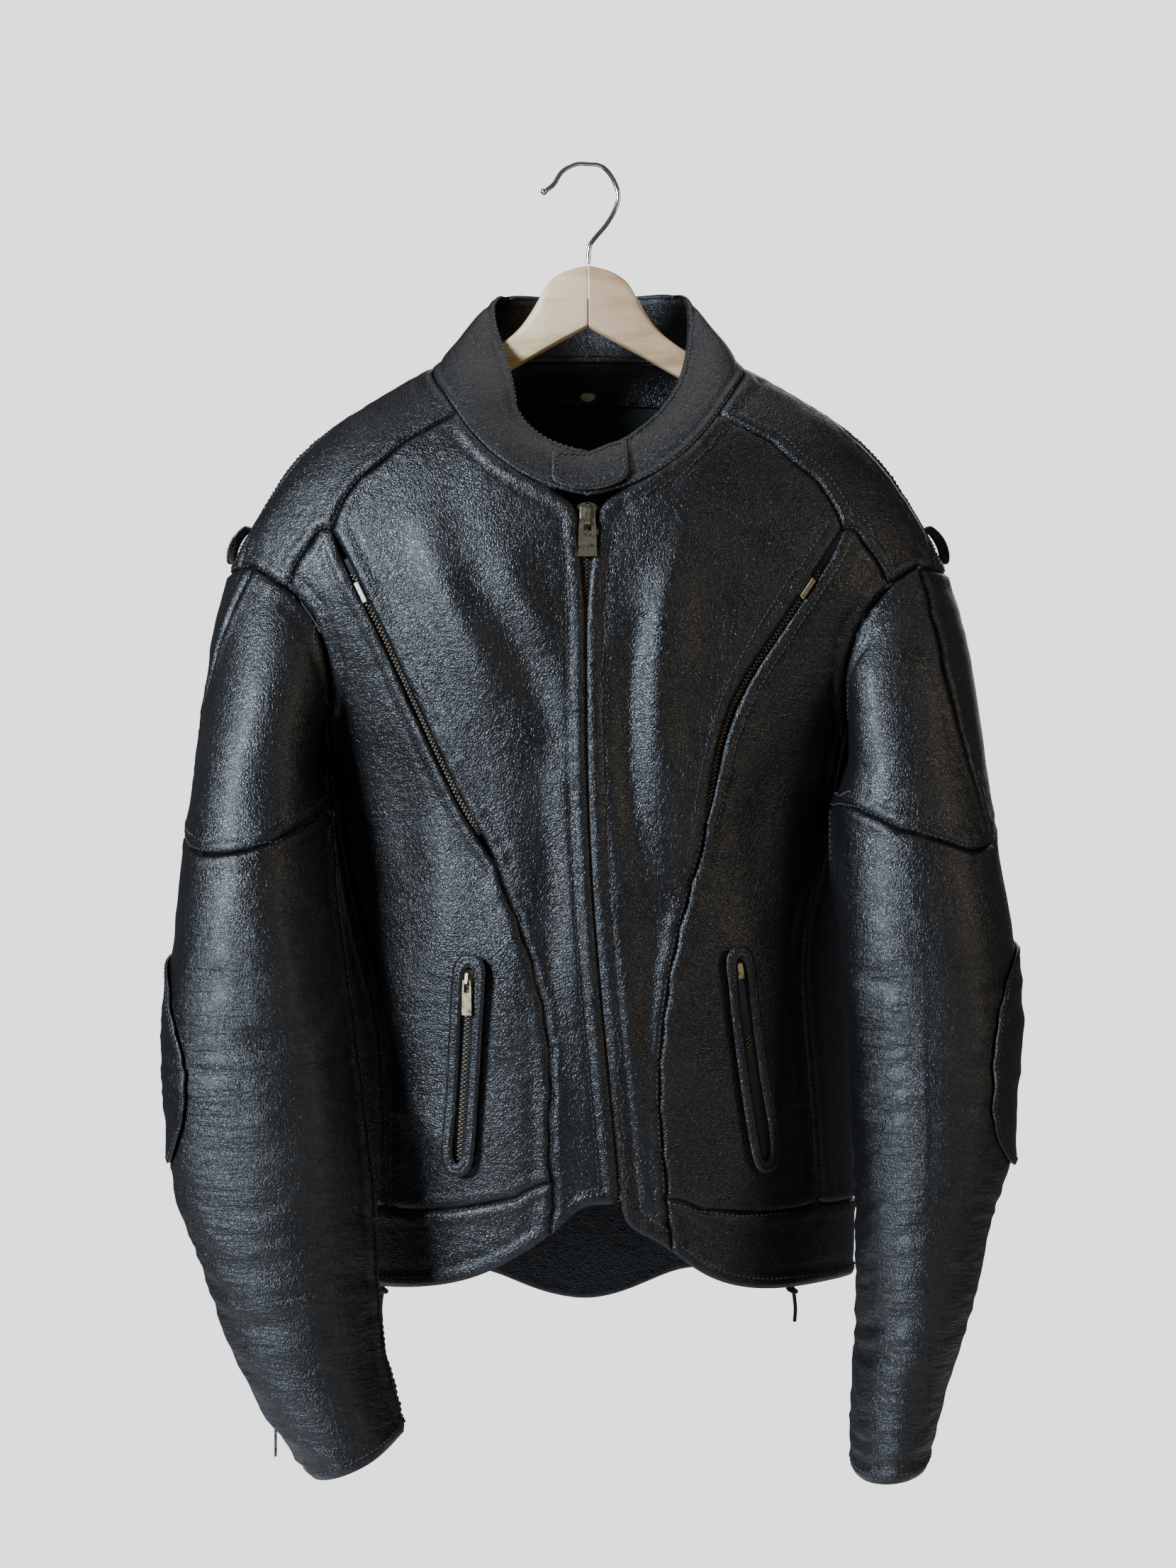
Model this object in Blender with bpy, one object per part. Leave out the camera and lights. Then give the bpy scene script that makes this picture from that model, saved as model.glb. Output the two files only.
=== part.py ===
"""Leather motorcycle jacket hanging on a wooden hanger, zipped up, sleeves down.

The origin is the inner top of the hanger's hook.  +Z is up, -Y is the front of the jacket and +X is
the right of someone who looks at the front.  Sizes below are in millimetres; meshes are in metres.
"""
import math

import bmesh
import bpy
import numpy as np

MM = 0.001
LEATHER = 2.0            # wall of every leather piece
SEAM = 0.2              # how far each edge stands back from its seam line
CHEST_ZIP_OPEN = 2.6     # how far each lip of a chest vent stands back from its zip
FOLDED = 0.6             # below this agreement a seam is a fold and each piece keeps its own direction
SKIVED = 1.2             # wall under the arm
# stand-back of the sleeve's inner seam, row by row from the armpit down
UNDERARM_OPEN = {"left": (0.8, 3.0, 1.2, 0.6), "right": (1.0, 1.0, 1.0, 1.0)}
FRONT_OPEN = 0.9         # how far each front edge stands back from the main zip
COLLAR_WALL = 3.2        # collar stand: two layers with a stiffener
TAPE = 1.2               # woven zip tape

# rows and columns of each cut piece
ROWS_BAND, ROWS_SIDE, ROWS_ARM_FRONT, ROWS_ARM_BACK = 2, 12, 4, 6
COLS_YOKE, COLS_NECK, COLS_FRONT_SIDE, COLS_SIDE, COLS_BACK_NECK, COLS_STRIP = 3, 4, 4, 4, 4, 3
ROWS_UPPER_SLEEVE, ROWS_LOWER_SLEEVE = 6, 15
RING = ROWS_ARM_FRONT + COLS_STRIP + ROWS_ARM_BACK + COLS_SIDE

# body: height -> half width, front depth, back depth and depth of the side edge
HALF_WIDTH = [(-118, 62), (-133, 98), (-141, 116), (-153, 137), (-173, 168), (-198, 207), (-212, 221),
              (-249, 244), (-273, 258), (-298, 267), (-349, 243), (-425, 212), (-480, 206), (-600, 208),
              (-760, 206), (-850, 202)]
FRONT_DEPTH = [(-118, -20), (-143, -35), (-180, -64), (-233, -89), (-300, -99), (-425, -104),
               (-600, -105), (-750, -99), (-850, -94)]
BACK_DEPTH = [(-118, 66), (-135, 75), (-180, 81), (-250, 86), (-425, 84), (-600, 80), (-850, 84)]
SIDE_DEPTH = [(-118, 14), (-143, 12), (-212, 7), (-298, 5), (-425, 24), (-480, 42), (-600, 46), (-850, 42)]
FRONT_ROUND = [(-118, 0.5), (-330, 0.5), (-450, 0.68), (-850, 0.68)]

# large folds: start (x, z), end (x, z), height outwards, half width
FRONT_FOLDS = [((62, -262), (76, -470), 4.0, 17), ((30, -300), (34, -560), -3.5, 15),
               ((112, -250), (100, -400), -3.5, 20), ((-60, -300), (-95, -430), 4.0, 26),
               ((-42, -470), (-30, -640), -3.5, 22), ((-120, -520), (-70, -600), 3.5, 24),
               ((100, -470), (80, -600), 3.0, 24), ((150, -360), (128, -520), -3.5, 16),
               ((-150, -400), (-140, -560), -3.0, 20)]
BACK_FOLDS = [((-120, -300), (-60, -420), 4.0, 26), ((120, -300), (60, -430), 4.0, 26),
              ((-150, -420), (-90, -640), -4.0, 24), ((150, -420), (95, -630), -4.0, 24),
              ((0, -420), (0, -700), 3.0, 34), ((-60, -560), (-40, -760), 3.0, 22),
              ((70, -520), (45, -760), 3.0, 22)]

# seams of the front, as (x, z) seen from the front; left is -X
NECK = [(0, -250), (16, -248), (35, -241), (53, -231), (76, -211), (95, -186)]
STRIP_END_NECK = [(95, -186), (107, -166), (116, -146)]
YOKE_INNER = [(95, -186), (119, -197), (141, -215), (164, -235), (186, -264)]
YOKE_OUTER = [(186, -264), (201, -282), (216, -310)]
ZIP_LINE = [(23, -748), (16, -674), (10.5, -619), (3.5, -536), (-0.5, -453), (-1.5, -340), (0, -250)]
PRINCESS = {"left": [(-22, -767), (-21, -739), (-25, -717), (-22, -680), (-22, -645), (-29, -603),
                     (-40, -565), (-55, -529), (-68, -501), (-74, -494), (-98, -453), (-121, -403),
                     (-145, -350), (-161, -318), (-176, -285), (-186, -264)],
            "right": [(55.5, -779), (54.5, -755), (51, -723), (48, -694), (47, -659), (49, -631),
                      (53, -603), (58, -572), (67, -540), (79, -499), (83, -487), (87, -466),
                      (91, -437), (98, -411), (110, -382), (133, -350), (157, -313), (178, -280), (186, -264)]}
BAND_HEIGHT_Z = {"left": -733, "right": -744}       # where the hem band meets the princess seam
CHEST_ZIP_Z = {"left": (-494, -283), "right": (-487, -281)}
HEM_CENTRE = {"left": [(23, -749), (1, -749), (-22, -767)], "right": [(23, -748), (29, -764), (55.5, -779)]}
HEM_FRONT = {"left": [(-22, -767), (-57, -792), (-71, -800), (-105, -810), (-144, -815)],
             "right": [(55.5, -779), (72, -795), (96, -809), (131, -815), (168, -815)]}
BAND_FRONT = {"left": [(-23, -733), (-37, -739), (-69, -751), (-105, -757), (-146, -760)],
              "right": [(54, -744), (72, -752), (96, -758), (115, -760), (167, -760)]}
SIDE_SEAM = {"left": [(-144, -815), (-145, -760), (-145, -677), (-151, -610), (-167, -565), (-180, -509),
                      (-186, -460), (-189, -408)],
             "right": [(168, -815), (167, -760), (163, -698), (157, -634), (153, -577), (158, -541),
                       (176, -480), (189, -408)]}
REAR_SEAM = [(158, -818), (158, -760), (160, -700), (166, -600), (182, -480), (200, -392)]
ARMHOLE_FRONT = [(189, -408), (184, -380), (188, -351), (201, -325), (216, -310)]
ARMHOLE_TOP = [(216, -310), (227, -302), (240, -295), (250.5, -296)]
ARMHOLE_BACK = [(250.5, -296, 1), (267, -298, 0), (252, -303, -1), (232, -315, -1), (215, -340, -1),
                (203, -368, -1), (200, -392, -1)]
ARMPIT = (211.5, -427)
BACK_NECK = [(116, -146, 1), (114, -143, -1), (90, -137, -1), (50, -134, -1), (0, -133, -1)]
STRIP_REAR = [(250.5, -296), (249, -274), (236, -252), (202, -208), (176, -185), (141, -162), (116, -146)]
BACK_HEM_DROP = 26       # the back hem's rounded tongue hangs this much lower
BACK_HEM_HALF = 78

# sleeves: centre x, y, z, half width, half depth and tilt of each ring, top to bottom
SLEEVE = {
    "left": [(-237, 4, -361, 70, 58, 65), (-233, -16, -385, 58, 63, 40), (-235, -30, -424, 53, 66, 16),
             (-237, -44, -480, 54, 69, 0), (-235, -64, -572, 62, 65, 0), (-232, -80, -633, 69, 58, 0),
             (-224, -94, -705, 71, 54, 2), (-218, -100, -756, 71, 52, 5), (-213, -102, -780, 66, 51, 8),
             (-196, -106, -850, 56, 46, 6), (-180, -108, -888, 46, 42, -8), (-161, -109, -920, 36, 40, -24)],
    "right": [(-237, 4, -361, 70, 58, 65), (-233, -14, -385, 60, 63, 40), (-232, -26, -424, 57, 66, 16),
              (-233, -40, -480, 61, 68, 0), (-240, -56, -560, 65, 63, 0), (-246, -66, -618, 64, 61, 0),
              (-243, -74, -688, 58, 62, 0), (-243, -77, -730, 56, 62, 0), (-234, -79, -766, 47, 62, 2),
              (-234, -80, -790, 46, 62, 3), (-229, -80, -832, 41, 61, 4), (-220, -79, -875, 35, 58, 6),
              (-213, -78, -934, 28, 56, 8)]}
CUFF_FALL = {"left": (6, 0), "right": (3, 8)}      # how far the cuff's edge drops at the front and outer side
CAP_BLEND = 0.30         # share of the sleeve over which it leaves the armhole's own shape
LAP_Z = {"left": [(0, -499), (50, -503), (100, -487), (180, -486), (250, -470), (300, -474), (360, -499)],
         "right": [(0, -488), (50, -500), (100, -474), (180, -480), (250, -468), (300, -466), (360, -488)]}
REST_GAP = 6.0           # sleeve to body where the sleeve hangs against it
# elbow patch: its front edge as (height, angle), its rear angle, and the sleeve columns it spans
PATCH_EDGE = {"left": [(-560, 84), (-580, 76), (-600, 66), (-624, 54), (-650, 40), (-680, 48), (-708, 58), (-730, 76)],
              "right": [(-550, 84), (-570, 72), (-585, 50), (-620, 40), (-637, 32), (-660, 38), (-700, 40), (-729, 76)]}
PATCH_REAR = 158
PATCH_COLUMNS = {"left": (4, 9), "right": (7, 12)}
PATCH_ROWS = {"left": (3, 8), "right": (3, 8)}
UPPER_SEAM = {"left": (6, 100), "right": (6, 14)}     # column and angle of the seam down the upper sleeve
LOWER_SEAM = {"left": 6, "right": 9}                  # column of the seam that ends in the cuff zip
CUFF_ZIP_ROWS = 4
CUFF_OPEN = {"left": 2.2, "right": 4.5}
CUFF_SLIDER_ROW = {"left": 1.0, "right": 0.3}          # how many rows the cuff slider stands above the edge

POCKET = {"left": ((-81, -571), (-91, -731), 23), "right": ((103, -566), (126, -731), 21)}

COLLAR_ROWS = 3
COLLAR_TOP = {"left": [(0, -68, -217), (-13, -68, -215), (-35, -62, -205), (-50, -52, -191), (-51, -42, -176),
                       (-55, -25, -155), (-62, -6, -133), (-70, 18, -103), (-71, 34, -87), (-56, 58, -85),
                       (-30, 66, -86), (0, 68, -87)],
              "right": [(0, -68, -217), (20, -63, -210), (44, -52, -192), (59, -40, -174), (69, -20, -151),
                        (73, 8, -118), (75, 27, -92), (75, 36, -85), (58, 58, -84), (30, 66, -86), (0, 68, -87)]}

INSIDE_GAP = LEATHER + 0.5      # outer face of a panel to what lies inside it
FACING = 1.2             # thickness of the facings inside the neck and the back hem
SNAP_SIZE = (14, 9)
LACE, LACE_LOW, LACE_HIGH, LACE_PAIRS = 3.0, -800, -590, 6

# hanger: distance from the centre -> height of the wood's top and bottom
ARM_TOP = [(0, -72), (10, -74), (24, -79), (30, -84), (36, -96), (46, -113), (61, -127), (100, -149),
           (150, -179), (200, -214), (222, -230)]
ARM_BOTTOM = [(0, -119), (55, -148), (100, -173), (150, -203), (200, -236), (222, -249)]
ARM_THICK = (15, 18)
ARM_Y = [(0, 0), (30, 4), (62, 10), (100, 10), (222, 6)]
HOOK_WIRE = 3.4
HOOK = [(0, -71.5), (1, -60), (4, -54), (14, -42), (21, -29), (22, -19), (17, -7), (9, 0.6), (0, 1.7), (-9, 1.6),
        (-19, -4), (-25, -13), (-31, -18)]

COLOURS = {"leather": (0.018, 0.019, 0.022, 0.38, 0.0), "lining": (0.02, 0.021, 0.024, 0.8, 0.0),
           "tape": (0.012, 0.012, 0.013, 0.85, 0.0), "brass": (0.42, 0.33, 0.2, 0.35, 1.0),
           "chrome": (0.75, 0.75, 0.76, 0.15, 1.0), "wood": (0.72, 0.5, 0.27, 0.5, 0.0),
           "lace": (0.015, 0.015, 0.015, 0.6, 0.0)}


# ---------------------------------------------------------------- curves and surfaces

def table(rows, column=1):
    """A smooth function through rows of numbers sorted by their first column."""
    rows = sorted(rows)
    t = np.array([r[0] for r in rows], float)
    v = np.array([r[column] for r in rows], float)
    slope = np.gradient(v, t)

    def value(at):
        at = np.clip(np.asarray(at, float), t[0], t[-1])
        k = np.clip(np.searchsorted(t, at, side="right") - 1, 0, len(t) - 2)
        step = t[k + 1] - t[k]
        u = (at - t[k]) / step
        return ((2 * u**3 - 3 * u**2 + 1) * v[k] + (u**3 - 2 * u**2 + u) * step * slope[k]
                + (3 * u**2 - 2 * u**3) * v[k + 1] + (u**3 - u**2) * step * slope[k + 1])
    return value


half_width, front_depth = table(HALF_WIDTH), table(FRONT_DEPTH)
back_depth, side_depth, front_round = table(BACK_DEPTH), table(SIDE_DEPTH), table(FRONT_ROUND)


def fold_height(x, z, folds):
    """Height of the large folds over the body at (x, z)."""
    total = np.zeros_like(x)
    for (x0, z0), (x1, z1), height, width in folds:
        dx, dz = x1 - x0, z1 - z0
        length = math.hypot(dx, dz)
        along = ((x - x0) * dx + (z - z0) * dz) / length
        beyond = np.maximum(0, np.maximum(-along, along - length))
        across = ((x - x0) * dz - (z - z0) * dx) / length
        total += height * np.exp(-(across / width) ** 2 - (beyond / (1.6 * width)) ** 2)
    return total


def body(params):
    """Points of the body surface for rows of (angle from the front centre, height)."""
    params = np.asarray(params, float)
    angle, z = np.radians(params[..., 0]), params[..., 1]
    share = np.abs(np.sin(angle))
    x = half_width(z) * np.sin(angle)
    side = side_depth(z)
    front = np.cos(angle) >= 0
    forward = np.clip(1 - share**2.2, 0, 1) ** front_round(z)
    backward = np.clip(1 - share**2.5, 0, 1) ** 0.55
    depth = np.where(front, side + (front_depth(z) - side) * forward, side + (back_depth(z) - side) * backward)
    rise = np.abs(np.cos(angle)) ** 0.8
    push = np.where(front, -fold_height(x, z, FRONT_FOLDS), fold_height(x, z, BACK_FOLDS)) * rise
    return np.stack([x, depth + push, z], -1)


def drawn(points, side=1):
    """Body parameters of points drawn as (x, z), or (x, z, -1) on the back."""
    params = []
    for point in points:
        x, z = point[0] * side, point[1]
        back = len(point) > 2 and point[2] < 0
        share = max(-1.0, min(1.0, x / float(half_width(z))))
        angle = math.degrees(math.asin(share))
        if back:
            angle = (180 if x >= 0 else -180) - angle
        params.append((angle, z))
    return np.array(params)


def smooth_path(points, steps=24):
    """A dense Catmull-Rom path through the points."""
    p = np.asarray(points, float)
    gaps = np.maximum(np.linalg.norm(np.diff(p, axis=0), axis=1), 1e-9) ** 0.5
    t = np.concatenate([[0], np.cumsum(gaps)])
    slope = np.gradient(p, t, axis=0) if len(p) > 2 else np.repeat((p[1:] - p[:1]) / gaps[0], 2, 0)
    out = []
    for k in range(len(p) - 1):
        u = np.linspace(0, 1, steps, endpoint=False)[:, None]
        out.append((2 * u**3 - 3 * u**2 + 1) * p[k] + (u**3 - 2 * u**2 + u) * gaps[k] * slope[k]
                   + (3 * u**2 - 2 * u**3) * p[k + 1] + (u**3 - u**2) * gaps[k] * slope[k + 1])
    return np.concatenate(out + [p[-1:]])


def even(params, count, surface=body):
    """count + 1 parameters spaced evenly, by length on the surface, along a smooth path."""
    dense = smooth_path(params)
    length = np.linalg.norm(np.diff(surface(dense), axis=0), axis=1)
    run = np.concatenate([[0], np.cumsum(length)])
    want = np.linspace(0, run[-1], count + 1)
    return np.stack([np.interp(want, run, dense[:, i]) for i in range(dense.shape[1])], -1)


def split_at(params, height):
    """Cut a rising path of (angle, height) in two at a height."""
    dense = smooth_path(params)
    k = int(np.searchsorted(dense[:, 1], height))
    return dense[:k + 1:6], np.concatenate([dense[k:k + 1], dense[k + 1::6], dense[-1:]])


def unfold(params, centre):
    """(angle, height) laid flat as (distance across, height) about a centre angle."""
    turn = params[..., 0] - centre
    share = np.sin(np.radians(np.abs(turn)))
    share = np.where(np.abs(turn) <= 90, share, 2 - share)
    return np.stack([np.sign(turn) * share * half_width(params[..., 1]), params[..., 1]], -1)


def refold(flat, centre):
    """The inverse of unfold."""
    share = np.abs(flat[..., 0]) / half_width(flat[..., 1])
    near = np.degrees(np.arcsin(np.clip(share, 0, 1)))
    past = 180 - np.degrees(np.arcsin(np.clip(2 - share, 0, 1)))
    turn = np.where(share <= 1, near, past)
    return np.stack([centre + np.sign(flat[..., 0]) * turn, flat[..., 1]], -1)


def patch(bottom, top, start, end, centre=0):
    """Angles and heights filling four edges; start and end run from the bottom to the top."""
    filled = fill(*(unfold(edge, centre) for edge in (bottom, top, start, end)))
    grid = refold(filled, centre)
    grid[0], grid[-1], grid[:, 0], grid[:, -1] = bottom, top, start, end
    return grid


def fill(bottom, top, start, end):
    """Rows of points between four edges."""
    rows, cols = len(start), len(bottom)
    v, u = np.linspace(0, 1, rows)[:, None, None], np.linspace(0, 1, cols)[None, :, None]
    across = (1 - u) * start[:, None] + u * end[:, None]
    upward = (1 - v) * bottom[None] + v * top[None]
    corners = ((1 - u) * (1 - v) * bottom[0] + u * (1 - v) * bottom[-1]
               + (1 - u) * v * top[0] + u * v * top[-1])
    return across + upward - corners


# ---------------------------------------------------------------- meshes

def material(kind):
    name = kind
    found = bpy.data.materials.get(name)
    if found:
        return found
    red, green, blue, rough, metal = COLOURS[kind]
    made = bpy.data.materials.new(name)
    made.use_nodes = True
    shader = made.node_tree.nodes["Principled BSDF"]
    shader.inputs["Base Color"].default_value = (red, green, blue, 1)
    shader.inputs["Roughness"].default_value = rough
    shader.inputs["Metallic"].default_value = metal
    made.diffuse_color = (red, green, blue, 1)
    return made


def add_object(name, points, faces, kind):
    """A named object from points in millimetres, with its faces turned outwards."""
    mesh = bpy.data.meshes.new(name)
    mesh.from_pydata([tuple(float(c) * MM for c in p) for p in points], [], [tuple(f) for f in faces])
    work = bmesh.new()
    work.from_mesh(mesh)
    bmesh.ops.remove_doubles(work, verts=work.verts, dist=1e-6)
    bmesh.ops.triangulate(work, faces=work.faces)
    bmesh.ops.recalc_face_normals(work, faces=work.faces)
    if work.calc_volume(signed=True) < 0:
        bmesh.ops.reverse_faces(work, faces=work.faces)
    work.to_mesh(mesh)
    work.free()
    mesh.materials.append(material(kind))
    made = bpy.data.objects.new(name, mesh)
    bpy.context.collection.objects.link(made)
    return made


def wall(name, grids, kind="leather"):
    """One closed wall from grids of (outer, inner) points that share whole edges."""
    points, faces, edges, index = [], [], {}, {}

    def at(outer, inner):
        key = tuple(np.round(outer, 3))
        if key not in index:
            index[key] = len(points) // 2
            points.extend([outer, inner])
        return index[key]

    for outer, inner in grids:
        rows, cols = outer.shape[:2]
        ids = [[at(outer[i, j], inner[i, j]) for j in range(cols)] for i in range(rows)]
        for i in range(rows - 1):
            for j in range(cols - 1):
                quad = [ids[i][j], ids[i][j + 1], ids[i + 1][j + 1], ids[i + 1][j]]
                quad = [q for k, q in enumerate(quad) if q != quad[k - 1]]
                if len(quad) < 3:
                    continue
                faces.append([2 * q for q in quad])
                faces.append([2 * q + 1 for q in reversed(quad)])
                for a, b in zip(quad, quad[1:] + quad[:1]):
                    edges[(a, b)] = edges.get((a, b), 0) + 1
    for (a, b) in edges:
        if (b, a) not in edges:
            faces.append([2 * b, 2 * a, 2 * a + 1, 2 * b + 1])
    return add_object(name, points, faces, kind)


class Cloth:
    """Sewn pieces that share seam points, so that their walls meet edge to edge."""

    def __init__(self):
        self.pieces = {}

    def add(self, name, grid):
        self.pieces.setdefault(name, []).append(np.asarray(grid, float))

    def key(self, point):
        return tuple(np.round(point, 2))

    def normals(self, only=None):
        """One outward direction for each shared point, of all the pieces or of one."""
        total = {}
        for grids in ([self.pieces[only]] if only else self.pieces.values()):
            for g in grids:
                for i in range(g.shape[0] - 1):
                    for j in range(g.shape[1] - 1):
                        a, b, c, d = g[i, j], g[i, j + 1], g[i + 1, j + 1], g[i + 1, j]
                        n = np.cross(c - a, d - b)
                        for corner in (a, b, c, d):
                            k = self.key(corner)
                            total[k] = total.get(k, np.zeros(3)) + n
        return {k: n / max(np.linalg.norm(n), 1e-9) for k, n in total.items()}

    def edge_points(self, grids):
        """Points on the rim of a piece, each with the direction into the piece."""
        count, inward = {}, {}
        for g in grids:
            rows, cols = g.shape[:2]
            for i in range(rows - 1):
                for j in range(cols - 1):
                    quad = [g[i, j], g[i, j + 1], g[i + 1, j + 1], g[i + 1, j]]
                    middle = sum(quad) / 4
                    for a, b in zip(quad, quad[1:] + quad[:1]):
                        if np.linalg.norm(a - b) < 0.01:
                            continue
                        pair = (self.key(a), self.key(b))
                        run = (b - a) / np.linalg.norm(b - a)
                        into = middle - a
                        into = into - run * into.dot(run)
                        count[pair] = into / max(np.linalg.norm(into), 1e-9)
        for (a, b), into in count.items():
            if (b, a) not in count:
                for k in (a, b):
                    inward.setdefault(k, []).append(into)
        return inward

    def build(self, gaps, thin):
        """Make every piece; gaps and thin give the stand-back and the wall of special points."""
        normal = self.normals()
        made = {}
        for name, grids in self.pieces.items():
            rim = self.edge_points(grids)
            own = self.normals(name)
            shells = []
            for g in grids:
                outer, inner = g.copy(), g.copy()
                for i in range(g.shape[0]):
                    for j in range(g.shape[1]):
                        k = self.key(g[i, j])
                        n = normal[k] if normal[k].dot(own[k]) > FOLDED else own[k]
                        p = g[i, j].copy()
                        if k in rim:
                            p += stand_back(rim[k], gaps.get(k, SEAM))
                        outer[i, j] = p
                        inner[i, j] = p - thin.get(k, LEATHER) * n
                shells.append((outer, inner))
            wall(name, shells)
            made[name] = shells
        return made


def stand_back(directions, gap):
    """Offset that moves a rim point gap away from each of its edges."""
    unique = [directions[0]]
    for d in directions[1:]:
        if all(d.dot(u) < 0.999 for u in unique):
            unique.append(d)
    if len(unique) == 1:
        return gap * unique[0]
    total = sum(unique)
    total /= max(np.linalg.norm(total), 1e-6)
    least = min(total.dot(u) for u in unique)
    return total * gap / max(least, 0.45)


# ---------------------------------------------------------------- body pieces

SIDES = {"left": -1, "right": 1}


def past_back(params):
    """A seam of the left side with its angles counted on through the back."""
    return np.stack([360 + params[:, 0], params[:, 1]], -1)


def tongue(x):
    """Height of the back hem at x."""
    share = min(1.0, abs(x + 4) / BACK_HEM_HALF)
    return -818 - BACK_HEM_DROP * (0.5 + 0.5 * math.cos(math.pi * share)) ** 0.6


def side_seams(name):
    """Every seam of one side as rows of (angle, height)."""
    side = SIDES[name]
    low, up = split_at(drawn(PRINCESS[name]), BAND_HEIGHT_Z[name])
    side_low, side_up = split_at(drawn(SIDE_SEAM[name]), -760)
    rear_low, rear_up = split_at(drawn([(x, z, -1) for x, z in REAR_SEAM], side), -760)
    seams = {
        "princess_low": even(low, ROWS_BAND),
        "princess_up": even(up, ROWS_SIDE + ROWS_ARM_FRONT),
        "side_low": even(side_low, ROWS_BAND), "side_up": even(side_up, ROWS_SIDE),
        "rear_low": even(rear_low, ROWS_BAND), "rear_up": even(rear_up, ROWS_SIDE),
        "hem_centre": even(drawn(HEM_CENTRE[name]), COLS_NECK + COLS_YOKE),
        "hem_front": even(drawn(HEM_FRONT[name]), COLS_FRONT_SIDE),
        "band_front": even(drawn(BAND_FRONT[name]), COLS_FRONT_SIDE),
        "neck": even(drawn(NECK, side), COLS_NECK), "yoke_inner": even(drawn(YOKE_INNER, side), COLS_YOKE),
        "yoke_outer": even(drawn(YOKE_OUTER, side), COLS_FRONT_SIDE),
        "strip_neck": even(drawn(STRIP_END_NECK, side), COLS_STRIP),
        "strip_rear": even(drawn(STRIP_REAR, side)[::-1], COLS_YOKE + COLS_FRONT_SIDE),
        "arm_front": even(drawn(ARMHOLE_FRONT, side), ROWS_ARM_FRONT),
        "arm_top": even(drawn(ARMHOLE_TOP, side), COLS_STRIP),
        "arm_back": even(drawn(ARMHOLE_BACK, side), ROWS_ARM_BACK),
    }
    seams["side_hem"] = even(np.array([seams["side_low"][0], seams["rear_low"][0]]), COLS_SIDE)
    seams["side_band"] = even(np.array([seams["side_up"][0], seams["rear_up"][0]]), COLS_SIDE)
    seams["underarm"] = even(np.array([seams["side_up"][-1], (side * 90, ARMPIT[1]), seams["rear_up"][-1]]),
                             COLS_SIDE)
    snap_ends(seams)
    return seams


def snap_ends(seams):
    """Make the ends of seams that meet the same point."""
    joins = [("princess_low", -1, "princess_up", 0), ("princess_low", 0, "hem_centre", -1),
             ("princess_low", 0, "hem_front", 0), ("princess_up", 0, "band_front", 0),
             ("side_low", 0, "hem_front", -1), ("side_up", 0, "band_front", -1), ("side_up", 0, "side_low", -1),
             ("rear_up", 0, "rear_low", -1), ("side_up", -1, "arm_front", 0), ("yoke_inner", -1, "princess_up", -1),
             ("yoke_inner", -1, "yoke_outer", 0), ("yoke_outer", -1, "arm_front", -1),
             ("yoke_outer", -1, "arm_top", 0), ("strip_rear", -1, "arm_top", -1), ("arm_top", -1, "arm_back", 0),
             ("rear_up", -1, "arm_back", -1), ("neck", -1, "yoke_inner", 0), ("neck", -1, "strip_neck", 0),
             ("strip_rear", 0, "strip_neck", -1)]
    for a, i, b, j in joins:
        seams[b][j] = seams[a][i]


def outward(grid, centre):
    """The grid with its columns turned, if need be, so that it faces away from the centre."""
    n = np.cross(grid[1:, 1:] - grid[:-1, :-1], grid[1:, :-1] - grid[:-1, 1:])
    facing = ((grid[:-1, :-1] - centre) * n).sum()
    return grid if facing > 0 else grid[:, ::-1]


def add_body_piece(cloth, name, params):
    grid = body(params)
    middle = grid.reshape(-1, 3).mean(0)
    cloth.add(name, outward(grid, np.array([middle[0] * 0.4, 8.0, middle[2]])))


def make_front(cloth, name, seams, zip_line):
    """Front centre panel, front side panel, hem band and side panel of one side."""
    add_body_piece(cloth, "front_center_" + name, patch(
        seams["hem_centre"], np.concatenate([seams["neck"], seams["yoke_inner"][1:]]),
        zip_line, np.concatenate([seams["princess_low"], seams["princess_up"][1:]])))
    add_body_piece(cloth, "front_side_" + name, patch(
        seams["band_front"], seams["yoke_outer"], seams["princess_up"],
        np.concatenate([seams["side_up"], seams["arm_front"][1:]])))
    add_body_piece(cloth, "hem_band_" + name, patch(
        seams["hem_front"], seams["band_front"], seams["princess_low"], seams["side_low"]))
    add_body_piece(cloth, "hem_band_" + name, patch(
        seams["side_hem"], seams["side_band"], seams["side_low"], seams["rear_low"]))
    add_body_piece(cloth, "side_panel_" + name, patch(
        seams["side_band"], seams["underarm"], seams["side_up"], seams["rear_up"]))
    add_body_piece(cloth, "shoulder_strip_" + name, patch(
        np.concatenate([seams["yoke_inner"], seams["yoke_outer"][1:]]), seams["strip_rear"],
        seams["strip_neck"], seams["arm_top"]))


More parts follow.
